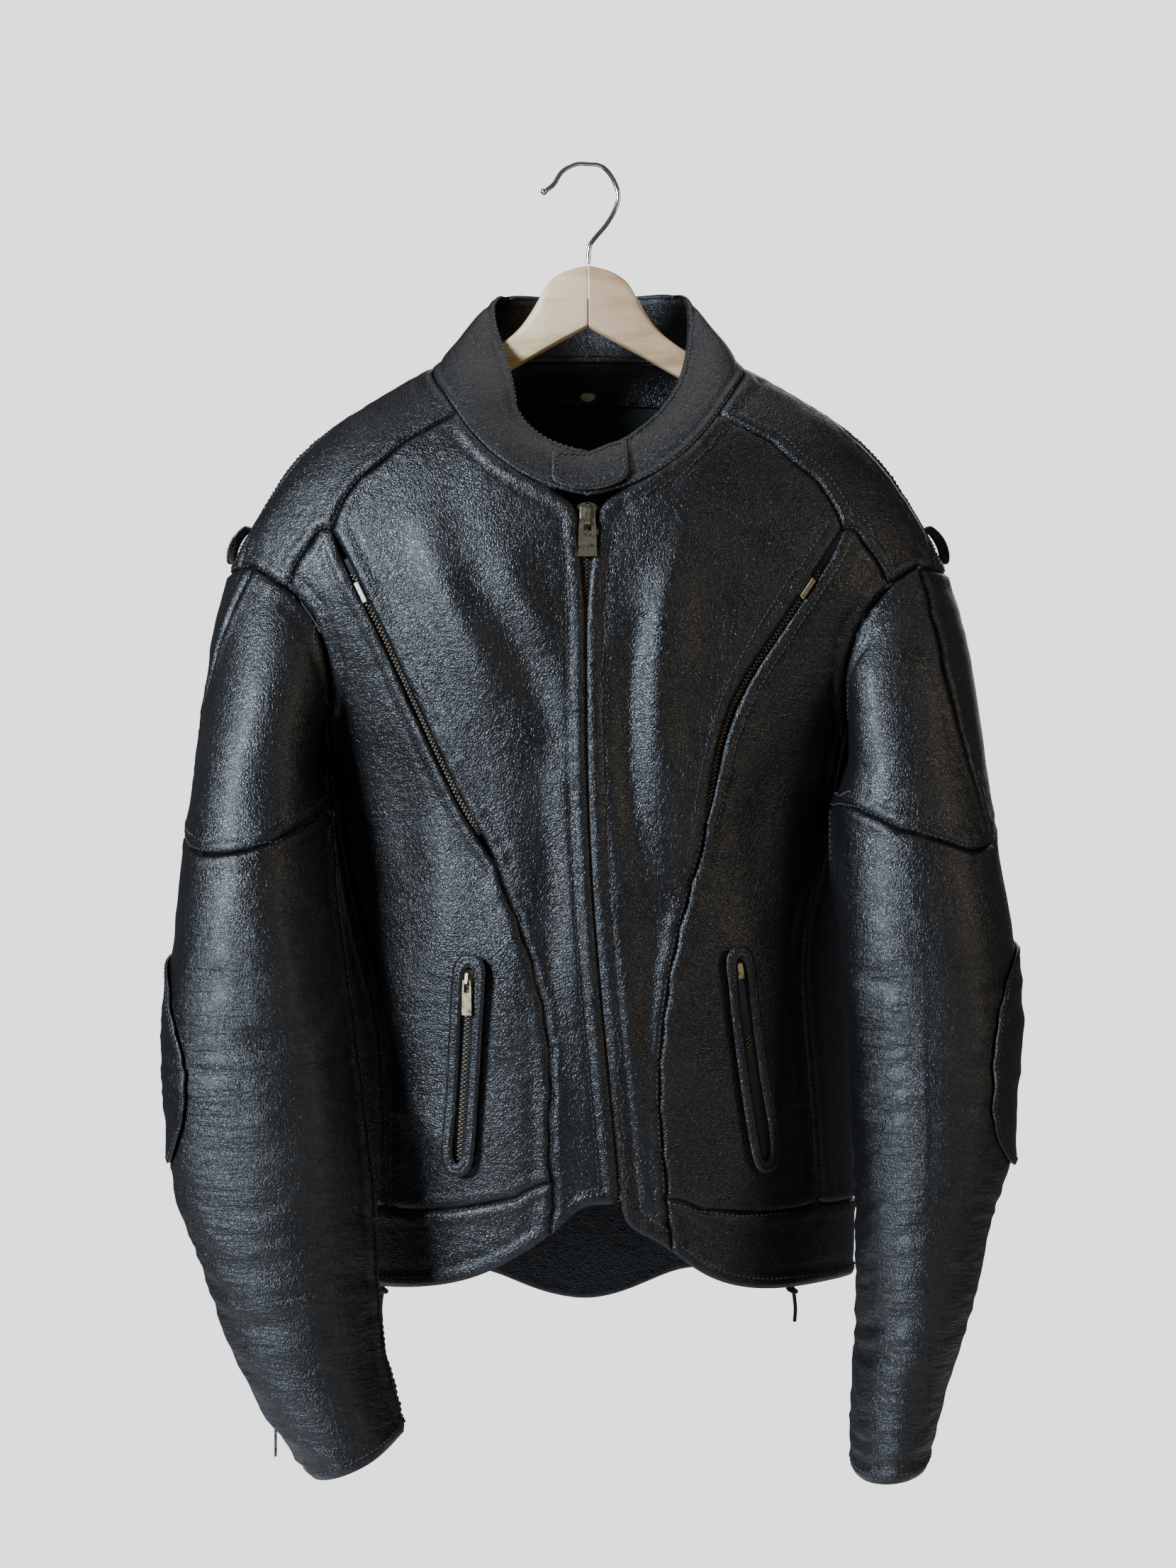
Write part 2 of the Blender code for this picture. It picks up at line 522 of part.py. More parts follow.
def back_seams(seams):
    """Edges of the back and its hem band, from the right side round to the left."""
    right, left = seams["right"], {k: past_back(v) for k, v in seams["left"].items()}
    columns = 2 * (COLS_YOKE + COLS_FRONT_SIDE) + COLS_BACK_NECK
    half = drawn(BACK_NECK)
    other = past_back(drawn(BACK_NECK, -1))
    neck = even(np.concatenate([half, other[::-1][1:]]), COLS_BACK_NECK)
    top = np.concatenate([right["strip_rear"][::-1], neck[1:-1], left["strip_rear"]])
    hem_x = [158, 120, 92, 66, 40, 0, -40, -66, -92, -120, -158]
    hem = even(np.array([(180 - math.degrees(math.asin(x / 202)), tongue(x)) for x in hem_x]), columns)
    band = even(np.array([right["rear_low"][-1], (180, -764), left["rear_low"][-1]]), columns)
    hem[0], hem[-1] = right["rear_low"][0], left["rear_low"][0]
    band[0], band[-1] = right["rear_low"][-1], left["rear_low"][-1]
    edges = [np.concatenate([one["rear_up"], one["arm_back"][::-1][1:]]) for one in (right, left)]
    return top, hem, band, (right["rear_low"], left["rear_low"]), edges


def make_back(cloth, seams):
    top, hem, band, low, edges = back_seams(seams)
    back = patch(band, top, *edges, 180)
    lower = patch(hem, band, *low, 180)
    add_body_piece(cloth, "back", back)
    add_body_piece(cloth, "hem_band_back", lower)
    return body(back), body(lower)


# ---------------------------------------------------------------- sleeves

def sleeve_ring(name, share):
    """Centre, half sizes and tilt of a sleeve's section at a share of its length."""
    rows = np.array(SLEEVE[name], float)
    run = np.concatenate([[0], np.cumsum(np.linalg.norm(np.diff(rows[:, :3], axis=0), axis=1))])
    run /= run[-1]
    return [float(table(list(zip(run, rows[:, k])))(share)) for k in range(6)]


def sleeve_point(name, angle, share):
    side = SIDES[name]
    x, y, z, wide, deep, tilt = sleeve_ring(name, share)
    lean, turn = math.radians(tilt), math.radians(angle)
    drop = CUFF_FALL[name][0] * max(0.0, share - 0.9) / 0.1
    out = wide * math.sin(turn)
    return np.array([side * (-x + out * math.cos(lean)), y - deep * math.cos(turn),
                     z + out * math.sin(lean) - drop * math.cos(turn)])


def loop_angles(name, loop):
    """Angle of each armhole point about the sleeve's first ring, counted on from the front underarm."""
    side = SIDES[name]
    x, y, z, wide, deep, tilt = sleeve_ring(name, 0)
    lean = math.radians(tilt)
    angles = []
    for p in loop:
        out = (side * p[0] + x) * math.cos(lean) + (p[2] - z) * math.sin(lean)
        angle = math.degrees(math.atan2(out / wide, -(p[1] - y) / deep))
        while angles and angle < angles[-1]:
            angle += 360
        angles.append(angle)
    return np.array(angles)


def column_angles(name, share, height):
    """Angles of the sleeve's columns away from the armhole."""
    side_middle = RING - COLS_SIDE // 2
    if height is None:
        seam, angle = UPPER_SEAM[name]
        marks = [(side_middle - RING, -90), (seam, angle), (side_middle, 270)]
    else:
        edge = float(table(PATCH_EDGE[name])(height))
        first, last = PATCH_COLUMNS[name]
        marks = [(side_middle - RING, -90), (first, edge), (last, PATCH_REAR), (side_middle, 270)]
    columns = np.arange(RING)
    return np.interp(columns, [m[0] for m in marks], [m[1] for m in marks])


def share_at_height(name, angle, height):
    """Where down the sleeve a line at this angle passes a height."""
    low, high = 0.0, 0.6
    for _ in range(26):
        middle = (low + high) / 2
        if sleeve_point(name, angle, middle)[2] > height:
            low = middle
        else:
            high = middle
    return low


def blended(name, first, angle, share, offset):
    """A sleeve point that starts on the armhole and leaves its shape further down."""
    fade = max(0.0, 1 - share / CAP_BLEND)
    mix = fade * fade
    return sleeve_point(name, angle + (first - angle) * mix, share) + offset * mix


def rest_on_body(name, grid):
    """Hold the sleeve clear of the body where it hangs against it."""
    side = SIDES[name]
    out = grid.copy()
    for i in range(1, grid.shape[0]):
        gap = REST_GAP * min(1.0, i / 1.5)
        for j in range(grid.shape[1]):
            x, y, z = grid[i, j]
            ring = body(np.array([(side * a, z) for a in range(20, 131, 3)]))[:, :2]
            near = ring[np.argmin(np.hypot(*(ring - (x, y)).T))]
            k = int(np.argmin(np.hypot(*(ring - (x, y)).T)))
            k = min(max(k, 1), len(ring) - 2)
            run = ring[k + 1] - ring[k - 1]
            normal = np.array([run[1], -run[0]]) * side
            normal /= np.linalg.norm(normal)
            clear = (np.array([x, y]) - near).dot(normal)
            if clear < gap:
                out[i, j, :2] += normal * (gap - clear)
    shift = out - grid
    for _ in range(2):
        spread = shift * 0.5
        spread[:, 1:] += shift[:, :-1] * 0.25
        spread[:, :-1] += shift[:, 1:] * 0.25
        wider = np.linalg.norm(spread, axis=-1) > np.linalg.norm(shift, axis=-1)
        shift = np.where(wider[..., None], spread, shift)
    return grid + shift


def ease_underarm(grid):
    """Run the rows below the armpit evenly down from the armhole."""
    out = grid.copy()
    for away in range(-4, 5):
        j = (RING - COLS_SIDE // 2 + away) % RING
        weight = max(0.0, min(1.0, (4.6 - abs(away)) / 2.4))
        for i in range(1, ROWS_UPPER_SLEEVE):
            share = i / ROWS_UPPER_SLEEVE
            straight = grid[0, j] * (1 - share) + grid[-1, j] * share
            out[i, j] = out[i, j] * (1 - weight) + straight * weight
    return out


def sleeve_grids(name, loop):
    """Rows of points of the upper and the lower sleeve, all round."""
    first = loop_angles(name, loop)
    offset = np.array([p - sleeve_point(name, a, 0) for p, a in zip(loop, first)])
    lap_table = LAP_Z[name]
    upper_angle, lower_angle = column_angles(name, 0, None), column_angles(name, 0, -480)
    upper, lower = [], []
    shares = []
    for j in range(RING):
        turn = lower_angle[j] % 360
        lap = float(table(lap_table)(turn))
        shares.append(share_at_height(name, turn, lap))
    for i in range(ROWS_UPPER_SLEEVE + 1):
        row = []
        for j in range(RING):
            mix = i / ROWS_UPPER_SLEEVE
            angle = upper_angle[j] + (lower_angle[j] - upper_angle[j]) * mix
            row.append(blended(name, first[j], angle, shares[j] * mix, offset[j]))
        upper.append(row)
    for i in range(ROWS_LOWER_SLEEVE + 1):
        row = []
        for j in range(RING):
            share = shares[j] + (1 - shares[j]) * i / ROWS_LOWER_SLEEVE
            angle = column_angles(name, share, sleeve_ring(name, share)[2])[j]
            row.append(blended(name, first[j], angle, share, offset[j]))
        lower.append(row)
    upper, lower = np.array(upper), np.array(lower)
    upper[0] = loop
    upper = rest_on_body(name, ease_underarm(upper))
    lower = rest_on_body(name, lower)
    lower[0] = upper[-1]
    return upper, lower


def columns_between(grid, start, end):
    """Columns from start round to end of a closed ring of columns."""
    count = (end - start) % RING
    return grid[:, [(start + k) % RING for k in range(count + 1)]]


def make_sleeve(cloth, name, seams):
    """Upper and lower sleeve, each of a front and a back piece."""
    loop = np.concatenate([seams["arm_front"], seams["arm_top"][1:], seams["arm_back"][1:],
                           seams["underarm"][::-1][1:-1]])
    upper, lower = sleeve_grids(name, body(loop))
    underarm = RING - COLS_SIDE // 2
    seam, low_seam = UPPER_SEAM[name][0], LOWER_SEAM[name]
    pieces = [("upper_sleeve_front_", upper, underarm, seam), ("upper_sleeve_back_", upper, seam, underarm),
              ("lower_sleeve_front_", lower, underarm, low_seam),
              ("lower_sleeve_back_", lower, low_seam, underarm)]
    centre = np.array([sleeve_ring(name, s)[:3] for s in (0.12, 0.65)]) * ((1 if name == "left" else -1), 1, 1)
    for title, grid, start, end in pieces:
        middle = centre[0] if grid is upper else centre[1]
        cloth.add(title + name, outward(columns_between(grid, start, end), middle))
    return upper, lower


def make_elbow_patch(name, lower, normals, key):
    """A second layer on the elbow, from the sleeve's own points moved outwards."""
    (top, bottom), (first, last) = PATCH_ROWS[name], PATCH_COLUMNS[name]
    grid = outward(columns_between(lower[top:bottom + 1], first, last),
                   np.array([SIDES[name] * 225.0, -80.0, -650.0]))
    facing = np.array([[normals[key(p)] for p in row] for row in grid])
    wall("elbow_patch_" + name, [(grid + facing * (LEATHER + 0.5), grid + facing * 0.5)])


# ---------------------------------------------------------------- collar and inside of the neck

def unit(v):
    return v / np.maximum(np.linalg.norm(v, axis=-1, keepdims=True), 1e-9)


def grid_normals(grid):
    """Outward directions of a grid whose columns run so that it faces away from its inside."""
    down, over = np.gradient(grid, axis=0), np.gradient(grid, axis=1)
    return unit(np.cross(over, down))


def neck_loop(seams, back_neck):
    """Points of the neck edge from the front centre round by the right side to the front centre."""
    right, left = seams["right"], seams["left"]
    parts = [body(right["neck"]), body(right["strip_neck"])[1:], back_neck[1:-1],
             body(left["strip_neck"])[::-1], body(left["neck"])[::-1][1:]]
    return np.concatenate(parts)


def collar_top(count):
    """The folded top edge of the collar, in step with the neck edge."""
    half = {name: smooth_path(COLLAR_TOP[name]) for name in SIDES}
    out = []
    for k in range(count):
        share = k / (count - 1) * 2
        path = half["right"] if share <= 1 else half["left"]
        share = share if share <= 1 else 2 - share
        run = np.concatenate([[0], np.cumsum(np.linalg.norm(np.diff(path, axis=0), axis=1))])
        out.append([np.interp(share * run[-1], run, path[:, i]) for i in range(3)])
    return np.array(out)


def make_collar(seams, back_neck, normals, key):
    """A stand collar on the neck edge, open at the front centre, and its overlapping tab."""
    loop = neck_loop(seams, back_neck)
    top = collar_top(len(loop))
    rise = unit(top - loop)
    lift = np.linspace(0, 1, COLLAR_ROWS + 1)[:, None, None]
    base = loop + rise * 0.6
    grid = base * (1 - lift) + top * lift
    facing = grid_normals(grid[:, ::-1])[:, ::-1]
    if (facing[1] * (grid[1] - np.array([0, 0, -150.0]))).sum() < 0:
        facing = -facing
    grid = grid + facing * 3.0 * np.sin(lift * math.pi)
    facing[0] = unit(facing[0] + np.array([normals[key(p)] for p in loop]))
    grid[:, 0, 0] += 0.5
    grid[:, -1, 0] -= 0.5
    wall("collar", [(grid, grid - facing * COLLAR_WALL)])
    make_tab(grid, facing)
    return grid, facing


def make_tab(grid, facing):
    """The right end of the collar laps over the left end."""
    right = [(grid[:, 1], 0.02, 0.97), (grid[:, 0], 0.0, 0.95)]
    left = [(grid[:, -1], 0.0, 0.93), (grid[:, -1] * 0.55 + grid[:, -2] * 0.45, 0.0, 0.80),
            (grid[:, -1] * 0.22 + grid[:, -2] * 0.78, 0.04, 0.74), (grid[:, -1] * 0.15 + grid[:, -2] * 0.85, 0.12, 0.66)]
    out = unit(facing[1, 0] + facing[1, -1])
    columns = []
    for line, low, high in right + left:
        v = np.linspace(low, high, 4) * COLLAR_ROWS
        columns.append(np.stack([np.interp(v, range(COLLAR_ROWS + 1), line[:, i]) for i in range(3)], -1))
    tab = np.array(columns).transpose(1, 0, 2)
    wall("collar_tab", [(tab + out * 3.4, tab + out * 0.9)])


def inner_layer(name, grid, normals, key, thick, trims=(0, 0), kind="leather"):
    """A layer inside a panel, from the panel's own points; trims shorten its first and last rows."""
    inward = np.array([[normals[key(p)] for p in row] for row in grid])
    outer, inner = (grid - inward * depth for depth in (INSIDE_GAP, INSIDE_GAP + thick))
    for layer in (outer, inner):
        layer[0] = layer[0] * (1 - trims[0]) + layer[1] * trims[0]
        layer[-1] = layer[-1] * (1 - trims[1]) + layer[-2] * trims[1]
    wall(name, [(outer, inner)], kind)


def make_inside(back, lower, normals, key):
    """Neck facing, the lining that shows below it and the facing of the back hem."""
    middle = (back.shape[1] - 1) // 2
    first, last = middle - 3, middle + 4
    inner_layer("neck_facing", back[-4:, first:last], normals, key, FACING, (0.5, 0))
    inner_layer("lining_back", back[-8:-2, first:last], normals, key, 1.0, (0, 0.6), "lining")
    inner_layer("back_hem_facing", lower[:, 3:-3], normals, key, FACING)


# ---------------------------------------------------------------- zips

def along(points, k):
    """Direction of a run of points at one of them."""
    a, b = points[max(k - 1, 0)], points[min(k + 1, len(points) - 1)]
    return unit(b - a)


def make_tape(name, points, normals, width, depth):
    """A woven tape with its chain, under a run of seam points."""
    outer = []
    for k, p in enumerate(points):
        across = np.cross(along(points, k), normals[k])
        outer.append([p - normals[k] * depth - across * width / 2, p - normals[k] * depth + across * width / 2])
    outer = np.array(outer)
    inner = outer - np.array([[n, n] for n in normals]) * TAPE
    wall(name, [(outer, inner)], "tape")


def place(points, origin, up, out):
    """Points given as (across, up, out) put at an origin."""
    over = unit(np.cross(up, out))
    axis_out = unit(np.cross(over, up))
    p = np.asarray(points, float)
    return origin + p[:, :1] * over + p[:, 1:2] * up + p[:, 2:] * axis_out


def block(name, kind, low, high, origin, up, out, bevel=0.0):
    """A box from low to high, as (across, up, out), at an origin."""
    work = bmesh.new()
    bmesh.ops.create_cube(work, size=1)
    for v in work.verts:
        v.co = [low[i] + (v.co[i] + 0.5) * (high[i] - low[i]) for i in range(3)]
    if bevel:
        bmesh.ops.bevel(work, geom=work.edges[:], offset=bevel, segments=1, affect="EDGES")
    points = place([v.co[:] for v in work.verts], origin, up, out)
    faces = [[v.index for v in f.verts] for f in work.faces]
    work.free()
    return add_object(name, points, faces, kind)


def extrude_loops(name, kind, outer, inner, thickness, origin, up, out):
    """A plate with one hole: two loops of (across, up) with as many points each."""
    count = len(outer)
    points = [(x, z, d) for d in (-thickness / 2, thickness / 2) for loop in (outer, inner) for x, z in loop]
    faces = []
    for k in range(count):
        n = (k + 1) % count
        a, b, c, d = k, n, count + n, count + k
        e, f, g, h = (v + 2 * count for v in (a, b, c, d))
        faces += [[a, d, c, b], [e, f, g, h], [a, b, f, e], [d, h, g, c]]
    return add_object(name, place(points, origin, up, out), faces, kind)


def make_slider(name, origin, up, out, size, crown):
    """A slider: a body, and a crown that stands over the pull's bar."""
    wide, tall, deep = size
    half = crown / 2
    profile = [(-tall / 2, 0), (tall / 2, 0), (tall / 2, deep), (tall * 0.36, deep + 3.6), (-tall * 0.3, deep + 4.2),
               (-tall * 0.42, deep + 3.2), (-tall * 0.42, deep)]
    hole = [(-tall * 0.28, deep + 0.9), (tall * 0.1, deep + 0.9), (tall * 0.28, deep + 1.0),
            (tall * 0.22, deep + 2.3), (-tall * 0.1, deep + 3.0), (-tall * 0.26, deep + 2.9),
            (-tall * 0.3, deep + 2.2)]
    count = len(profile)
    points = [(s * half, z, d) for s in (-1, 1) for loop in (profile, hole) for z, d in loop]
    faces = []
    for k in range(count):
        n = (k + 1) % count
        a, b, c, d = k, n, count + n, count + k
        e, f, g, h = (v + 2 * count for v in (a, b, c, d))
        faces += [[a, b, c, d], [e, h, g, f], [a, e, f, b], [d, c, g, h]]
    crown_part = add_object(name, place(points, origin, up, out), faces, "brass")
    wings = block(name + "_wings", "brass", (-wide / 2, -tall / 2, -0.2), (wide / 2, tall / 2, deep * 0.75),
                  origin, up, out, 0.8)
    union = crown_part.modifiers.new("wings", "BOOLEAN")
    union.operation, union.object = "UNION", wings
    wings.hide_render = True
    wings.display_type = "WIRE"


def make_pull(name, hinge, up, out, wide, long, thick, bar):
    """A pull tab that hangs from its bar, with its origin on the hinge axis."""
    half, slot = wide / 2, min(wide * 0.27, 2.7)
    outer = [(-half * 0.8, bar), (half * 0.8, bar), (half * 0.9, -6), (half, -long), (-half, -long), (-half * 0.9, -6)]
    inner = [(-slot, -bar), (slot, -bar), (slot, -5), (slot, -8.2), (-slot, -8.2), (-slot, -5)]
    extrude_loops(name, "brass", outer, inner, thick, hinge, up, out)


def make_main_zip(zip_line, normals, key):
    points = body(zip_line)
    directions = np.array([normals[key(p)] for p in points])
    tape = points.copy()
    tape[-1] = tape[-1] * 0.9 + tape[-2] * 0.1
    make_tape("main_zip", tape, directions, 22, LEATHER + 1.4)
    at = points[-1] * 0.45 + points[-2] * 0.55
    lean = along(points, len(points) - 2)
    out = unit(np.cross(np.cross(lean, (0, -1.0, 0)), lean))
    make_slider("main_slider", at - out * 1.2, lean, out, (11.0, 15.0, 3.4), 3.6)
    hinge = at - out * 1.2 + lean * -2.6 + out * 5.4
    make_pull("main_pull", hinge, np.array([0, 0, 1.0]), np.array([0, -1.0, 0]), 13.6, 26, 1.2, 0.5)


def make_chest_zip(name, seams, normals, key):
    low, high = CHEST_ZIP_Z[name]
    params = seams["princess_up"]
    keep = [k for k, (_, z) in enumerate(params) if low - 20 < z < high + 16]
    points = body(params)[keep]
    directions = np.array([normals[key(p)] for p in points])
    make_tape("chest_zip_" + name, points, directions, 15, LEATHER + 1.4)
    at = points[-2] * 0.75 + points[-1] * 0.25
    up = along(points, len(points) - 2)
    out = directions[-2]
    block("chest_slider_" + name, "brass", (-1.9, -13, -LEATHER - 0.3), (1.9, 3, 0.5), at, up, out, 0.5)


def pocket_frame(name):
    """Origin, direction up and width of a hand pocket."""
    (x0, z0), (x1, z1), width = POCKET[name]
    return np.array([x0, z0]), np.array([x1, z1]), width


def pocket_point(name, share, over, lift):
    """A point over the front panel: share down the pocket, over its centre line, lift off the leather."""
    top, bottom, _ = pocket_frame(name)
    run = (bottom - top) / np.linalg.norm(bottom - top)
    x, z = top + (bottom - top) * share + np.array([-run[1], run[0]]) * over
    here = body(drawn([(x, z)]))[0]
    dx = body(drawn([(x + 4, z)]))[0] - here
    dz = body(drawn([(x, z + 4)]))[0] - here
    return here + unit(np.cross(dx, dz)) * lift


def make_pocket(name):
    """Welt frame and zip tape lying on the front panel, and the slider."""
    width = pocket_frame(name)[2] / 2
    slot, count = 3.6, 7
    shares = np.linspace(0, 1, count)
    outer = [(s, -width) for s in shares] + [(s, width) for s in shares[::-1]]
    inner = [(0.06 + 0.88 * s, -slot) for s in shares] + [(0.06 + 0.88 * s, slot) for s in shares[::-1]]
    points, faces, total = [], [], 2 * count
    for lift in (3.1, 5.1):
        for loop in (outer, inner):
            points += [pocket_point(name, s, o, lift) for s, o in loop]
    for k in range(total):
        n = (k + 1) % total
        a, b, c, d = k, n, total + n, total + k
        e, f, g, h = (v + 2 * total for v in (a, b, c, d))
        faces += [[a, b, c, d], [e, h, g, f], [a, e, f, b], [d, c, g, h]]
    add_object("pocket_welt_" + name, points, faces, "leather")
    tape = np.array([[pocket_point(name, 0.03 + 0.94 * s, o, 1.9) for o in (-5.5, 5.5)] for s in shares])
    under = np.array([[pocket_point(name, 0.03 + 0.94 * s, o, 0.9) for o in (-5.5, 5.5)] for s in shares])
    wall("pocket_zip_" + name, [(tape, under)], "tape")
    at = pocket_point(name, 0.115, 0, 2.5)
    up = unit(pocket_point(name, 0.08, 0, 2.5) - pocket_point(name, 0.15, 0, 2.5))
    out = unit(pocket_point(name, 0.115, 0, 5) - at)
    if name == "right":
        block("pocket_slider_right", "brass", (-2.8, -6, 0), (2.8, 6, 1.9), at, up, out, 0.5)
        return
    make_slider("pocket_slider_left", at, up, out, (6.2, 11.0, 2.4), 2.2)
    hinge = at - up * 1.7 + out * 4.5
    make_pull("pocket_pull_left", hinge, np.array([0, 0, 1.0]), unit(out * (1, 1, 0)), 7.6, 24, 1.2, 0.5)


def make_cuff_zip(name, lower, normals, key):
    """Tape and slider of the zip in the sleeve's outer seam at the cuff."""
    column = LOWER_SEAM[name]
    points = lower[-CUFF_ZIP_ROWS - 1:, column]
    directions = np.array([normals[key(p)] for p in points])
    make_tape("cuff_zip_" + name, points, directions, 14, LEATHER + 1.6)
    whole, part = divmod(CUFF_SLIDER_ROW[name], 1)
    row = len(points) - 1 - int(whole)
    up = -along(points, row)
    out = directions[row]
    at = points[row] * (1 - part) + points[row - 1] * part
    block("cuff_slider_" + name, "brass", (-1.2, -6, -LEATHER - 1.2), (1.2, 6, 1.0), at, up, out, 0.5)
    if name == "right":
        return
    out = np.array([-1.0, 0, 0])
    hinge = at - up * 3 + out * 3.6
    hinge[1] = at[1]
    extrude_loops("cuff_pull_left", "brass",
                  [(-2.4, 0.7), (2.4, 0.7), (3.0, -4), (3.0, -22), (-3.0, -22), (-3.0, -4)],
                  [(-1.4, -3), (1.4, -3), (1.4, -4), (1.4, -6), (-1.4, -6), (-1.4, -4)], 1.4,
                  hinge, np.array([0, 0, 1.0]), out)


# ---------------------------------------------------------------- trims

def make_shoulder_loop(name):
    """A short strap that stands off the shoulder just behind its ridge."""
    side = SIDES[name]
    rows = []
    for k in range(7):
        share = k / 6
        z = -262 - 30 * share
        lift = 0.9 + 4.4 * math.sin(math.pi * share) ** 0.8
        row = []
        for angle in (92.0, 96.5, 101.0):
            p = body(np.array([(side * angle, z)]))[0]
            q = body(np.array([(side * angle, z - 3)]))[0] - p
            r = body(np.array([(side * (angle + 1), z)]))[0] - p
            out = unit(np.cross(r, q) * side)
            out = out if out[0] * side > 0 else -out
            row.append((p + out * (lift + 1.8), p + out * lift))
        rows.append(row)
    grid = np.array(rows)
    wall("shoulder_loop_" + name, [(grid[:, :, 0], grid[:, :, 1])])


def over_rear_seam(name, across, height, lift):
    """A point beside the rear seam, lifted off the leather."""
    side = SIDES[name]
    seam = drawn([(x, z, -1) for x, z in REAR_SEAM], side)
    angle = np.interp(height, seam[:, 1], seam[:, 0])
    flat = unfold(np.array([(angle, height)]), 180 * side)
    flat[0, 0] += across * side
    p = body(refold(flat, 180 * side))[0]
    centre = np.array([p[0] * 0.5, 10, p[2]])
    return p + unit((p - centre) * (1, 1, 0)) * lift


def lace_route(name):
    """Up one way through the eyelets and down the other, crossing at each step."""
    heights = np.linspace(LACE_LOW, LACE_HIGH, LACE_PAIRS)
    up = [((-1) ** k, z) for k, z in enumerate(heights)]
    down = [(-(-1) ** k, z) for k, z in list(enumerate(heights))[::-1]]
    knot = over_rear_seam(name, 6, LACE_LOW - 20, 4) + np.array([0, 0, -14.0])
    route = [knot + np.array([0, 0, 7.0])]
    for leg, over in ((up, LACE * 1.9), (down, 0.0)):
        for k, (turn, z) in enumerate(leg):
            route.append(over_rear_seam(name, turn * 12, z, 2.8))
            if k + 1 < len(leg):
                route.append(over_rear_seam(name, 0, (z + leg[k + 1][1]) / 2, 2.6 + over))
    route.append(knot + np.array([3.4 * SIDES[name], 2.0, 7.5]))
    route[0] = route[0] + np.array([-3.4 * SIDES[name], -1.0, 0])
    return np.array(route), knot


def tube(name, points, diameter, kind, sides=1):
    """A round cord along points, as a curve with closed ends."""
    curve = bpy.data.curves.new(name, "CURVE")
    curve.dimensions = "3D"
    curve.bevel_depth = diameter / 2 * MM
    curve.bevel_resolution = sides
    curve.render_resolution_u = 0
    curve.use_fill_caps = True
    spline = curve.splines.new("POLY")
    spline.points.add(len(points) - 1)
    for target, p in zip(spline.points, points):
        target.co = (p[0] * MM, p[1] * MM, p[2] * MM, 1)
    curve.materials.append(material(kind))
    made = bpy.data.objects.new(name, curve)
    bpy.context.collection.objects.link(made)
    return made


def ball(name, kind, centre, radii, rows=6, columns=10):
    work = bmesh.new()
    bmesh.ops.create_uvsphere(work, u_segments=columns, v_segments=rows, radius=1)
    points = [centre + np.array(v.co[:]) * radii for v in work.verts]
    faces = [[v.index for v in f.verts] for f in work.faces]
    work.free()
    return add_object(name, points, faces, kind)


def make_lace(name):
    route, knot = lace_route(name)
    dense = smooth_path(route, 3)
    tube("lace_" + name, dense, LACE, "lace")
    ball("lace_knot_" + name, "lace", knot, np.array([5.5, 4.6, 5.2]))
    tail = [knot + np.array([1.0 * SIDES[name], 0.5, -5.6]), knot + np.array([2.0 * SIDES[name], 1.0, -16]),
            knot + np.array([1.4 * SIDES[name], 0.6, -26])]
    tube("lace_tail_" + name, smooth_path(tail, 4), LACE, "lace")


def make_snap(back, normals, key):
    """An oval snap on the inner side of the neck facing."""
    middle = (back.shape[1] - 1) // 2
    depth = INSIDE_GAP + FACING
    high, low = (back[k, middle] - normals[key(back[k, middle])] * depth for k in (-3, -4))
    run = unit(high - low)
    inward = unit(np.cross(run, (1.0, 0, 0)))
    inward = inward if inward[1] < 0 else -inward
    work = bmesh.new()
    bmesh.ops.create_cone(work, cap_ends=True, segments=16, radius1=1.0, radius2=0.8, depth=1.6)
    at = high * 0.83 + low * 0.17 + inward * 1.3
    shape = [(v.co.x * SNAP_SIZE[0] / 2, v.co.y * SNAP_SIZE[1] / 2, v.co.z) for v in work.verts]
    points = place(shape, at, run, inward)
    faces = [[v.index for v in f.verts] for f in work.faces]
    work.free()
    add_object("neck_snap", points, faces, "brass")


# ---------------------------------------------------------------- hanger

def make_arm(name):
    """One wooden arm: a rounded bar that follows the slope of the shoulder."""
    side = SIDES[name]
    top, bottom = table(ARM_TOP), table(ARM_BOTTOM)
    points, faces, count = [], [], 10
    stations = [0.2, 8, 18, 29, 34, 40, 50, 62, 80, 105, 135, 165, 195, 212, 218]
    for x in stations:
        high, low = float(top(x)), float(bottom(x))
        end = 1.0 if x < 205 else 0.86 if x < 215 else 0.5
        middle, reach = (high + low) / 2, (high - low) / 2 * end
        thick = (ARM_THICK[0] + (ARM_THICK[1] - ARM_THICK[0]) * x / 222) / 2 * end
        y = float(table(ARM_Y)(x))
        for k in range(count):
            turn = 2 * math.pi * (k + 0.5) / count
            c, s = math.cos(turn), math.sin(turn)
            round_c = math.copysign(abs(c) ** 0.45, c)
            round_s = math.copysign(abs(s) ** 0.45, s)
            points.append((side * x, y + thick * round_c, middle + reach * round_s))
    for i in range(len(stations) - 1):
        for k in range(count):
            n = (k + 1) % count
            faces.append([i * count + k, i * count + n, (i + 1) * count + n, (i + 1) * count + k])
    faces.append(list(range(count)))
    last = (len(stations) - 1) * count
    faces.append([last + k for k in reversed(range(count))])
    add_object("hanger_arm_" + name, points, faces, "wood")


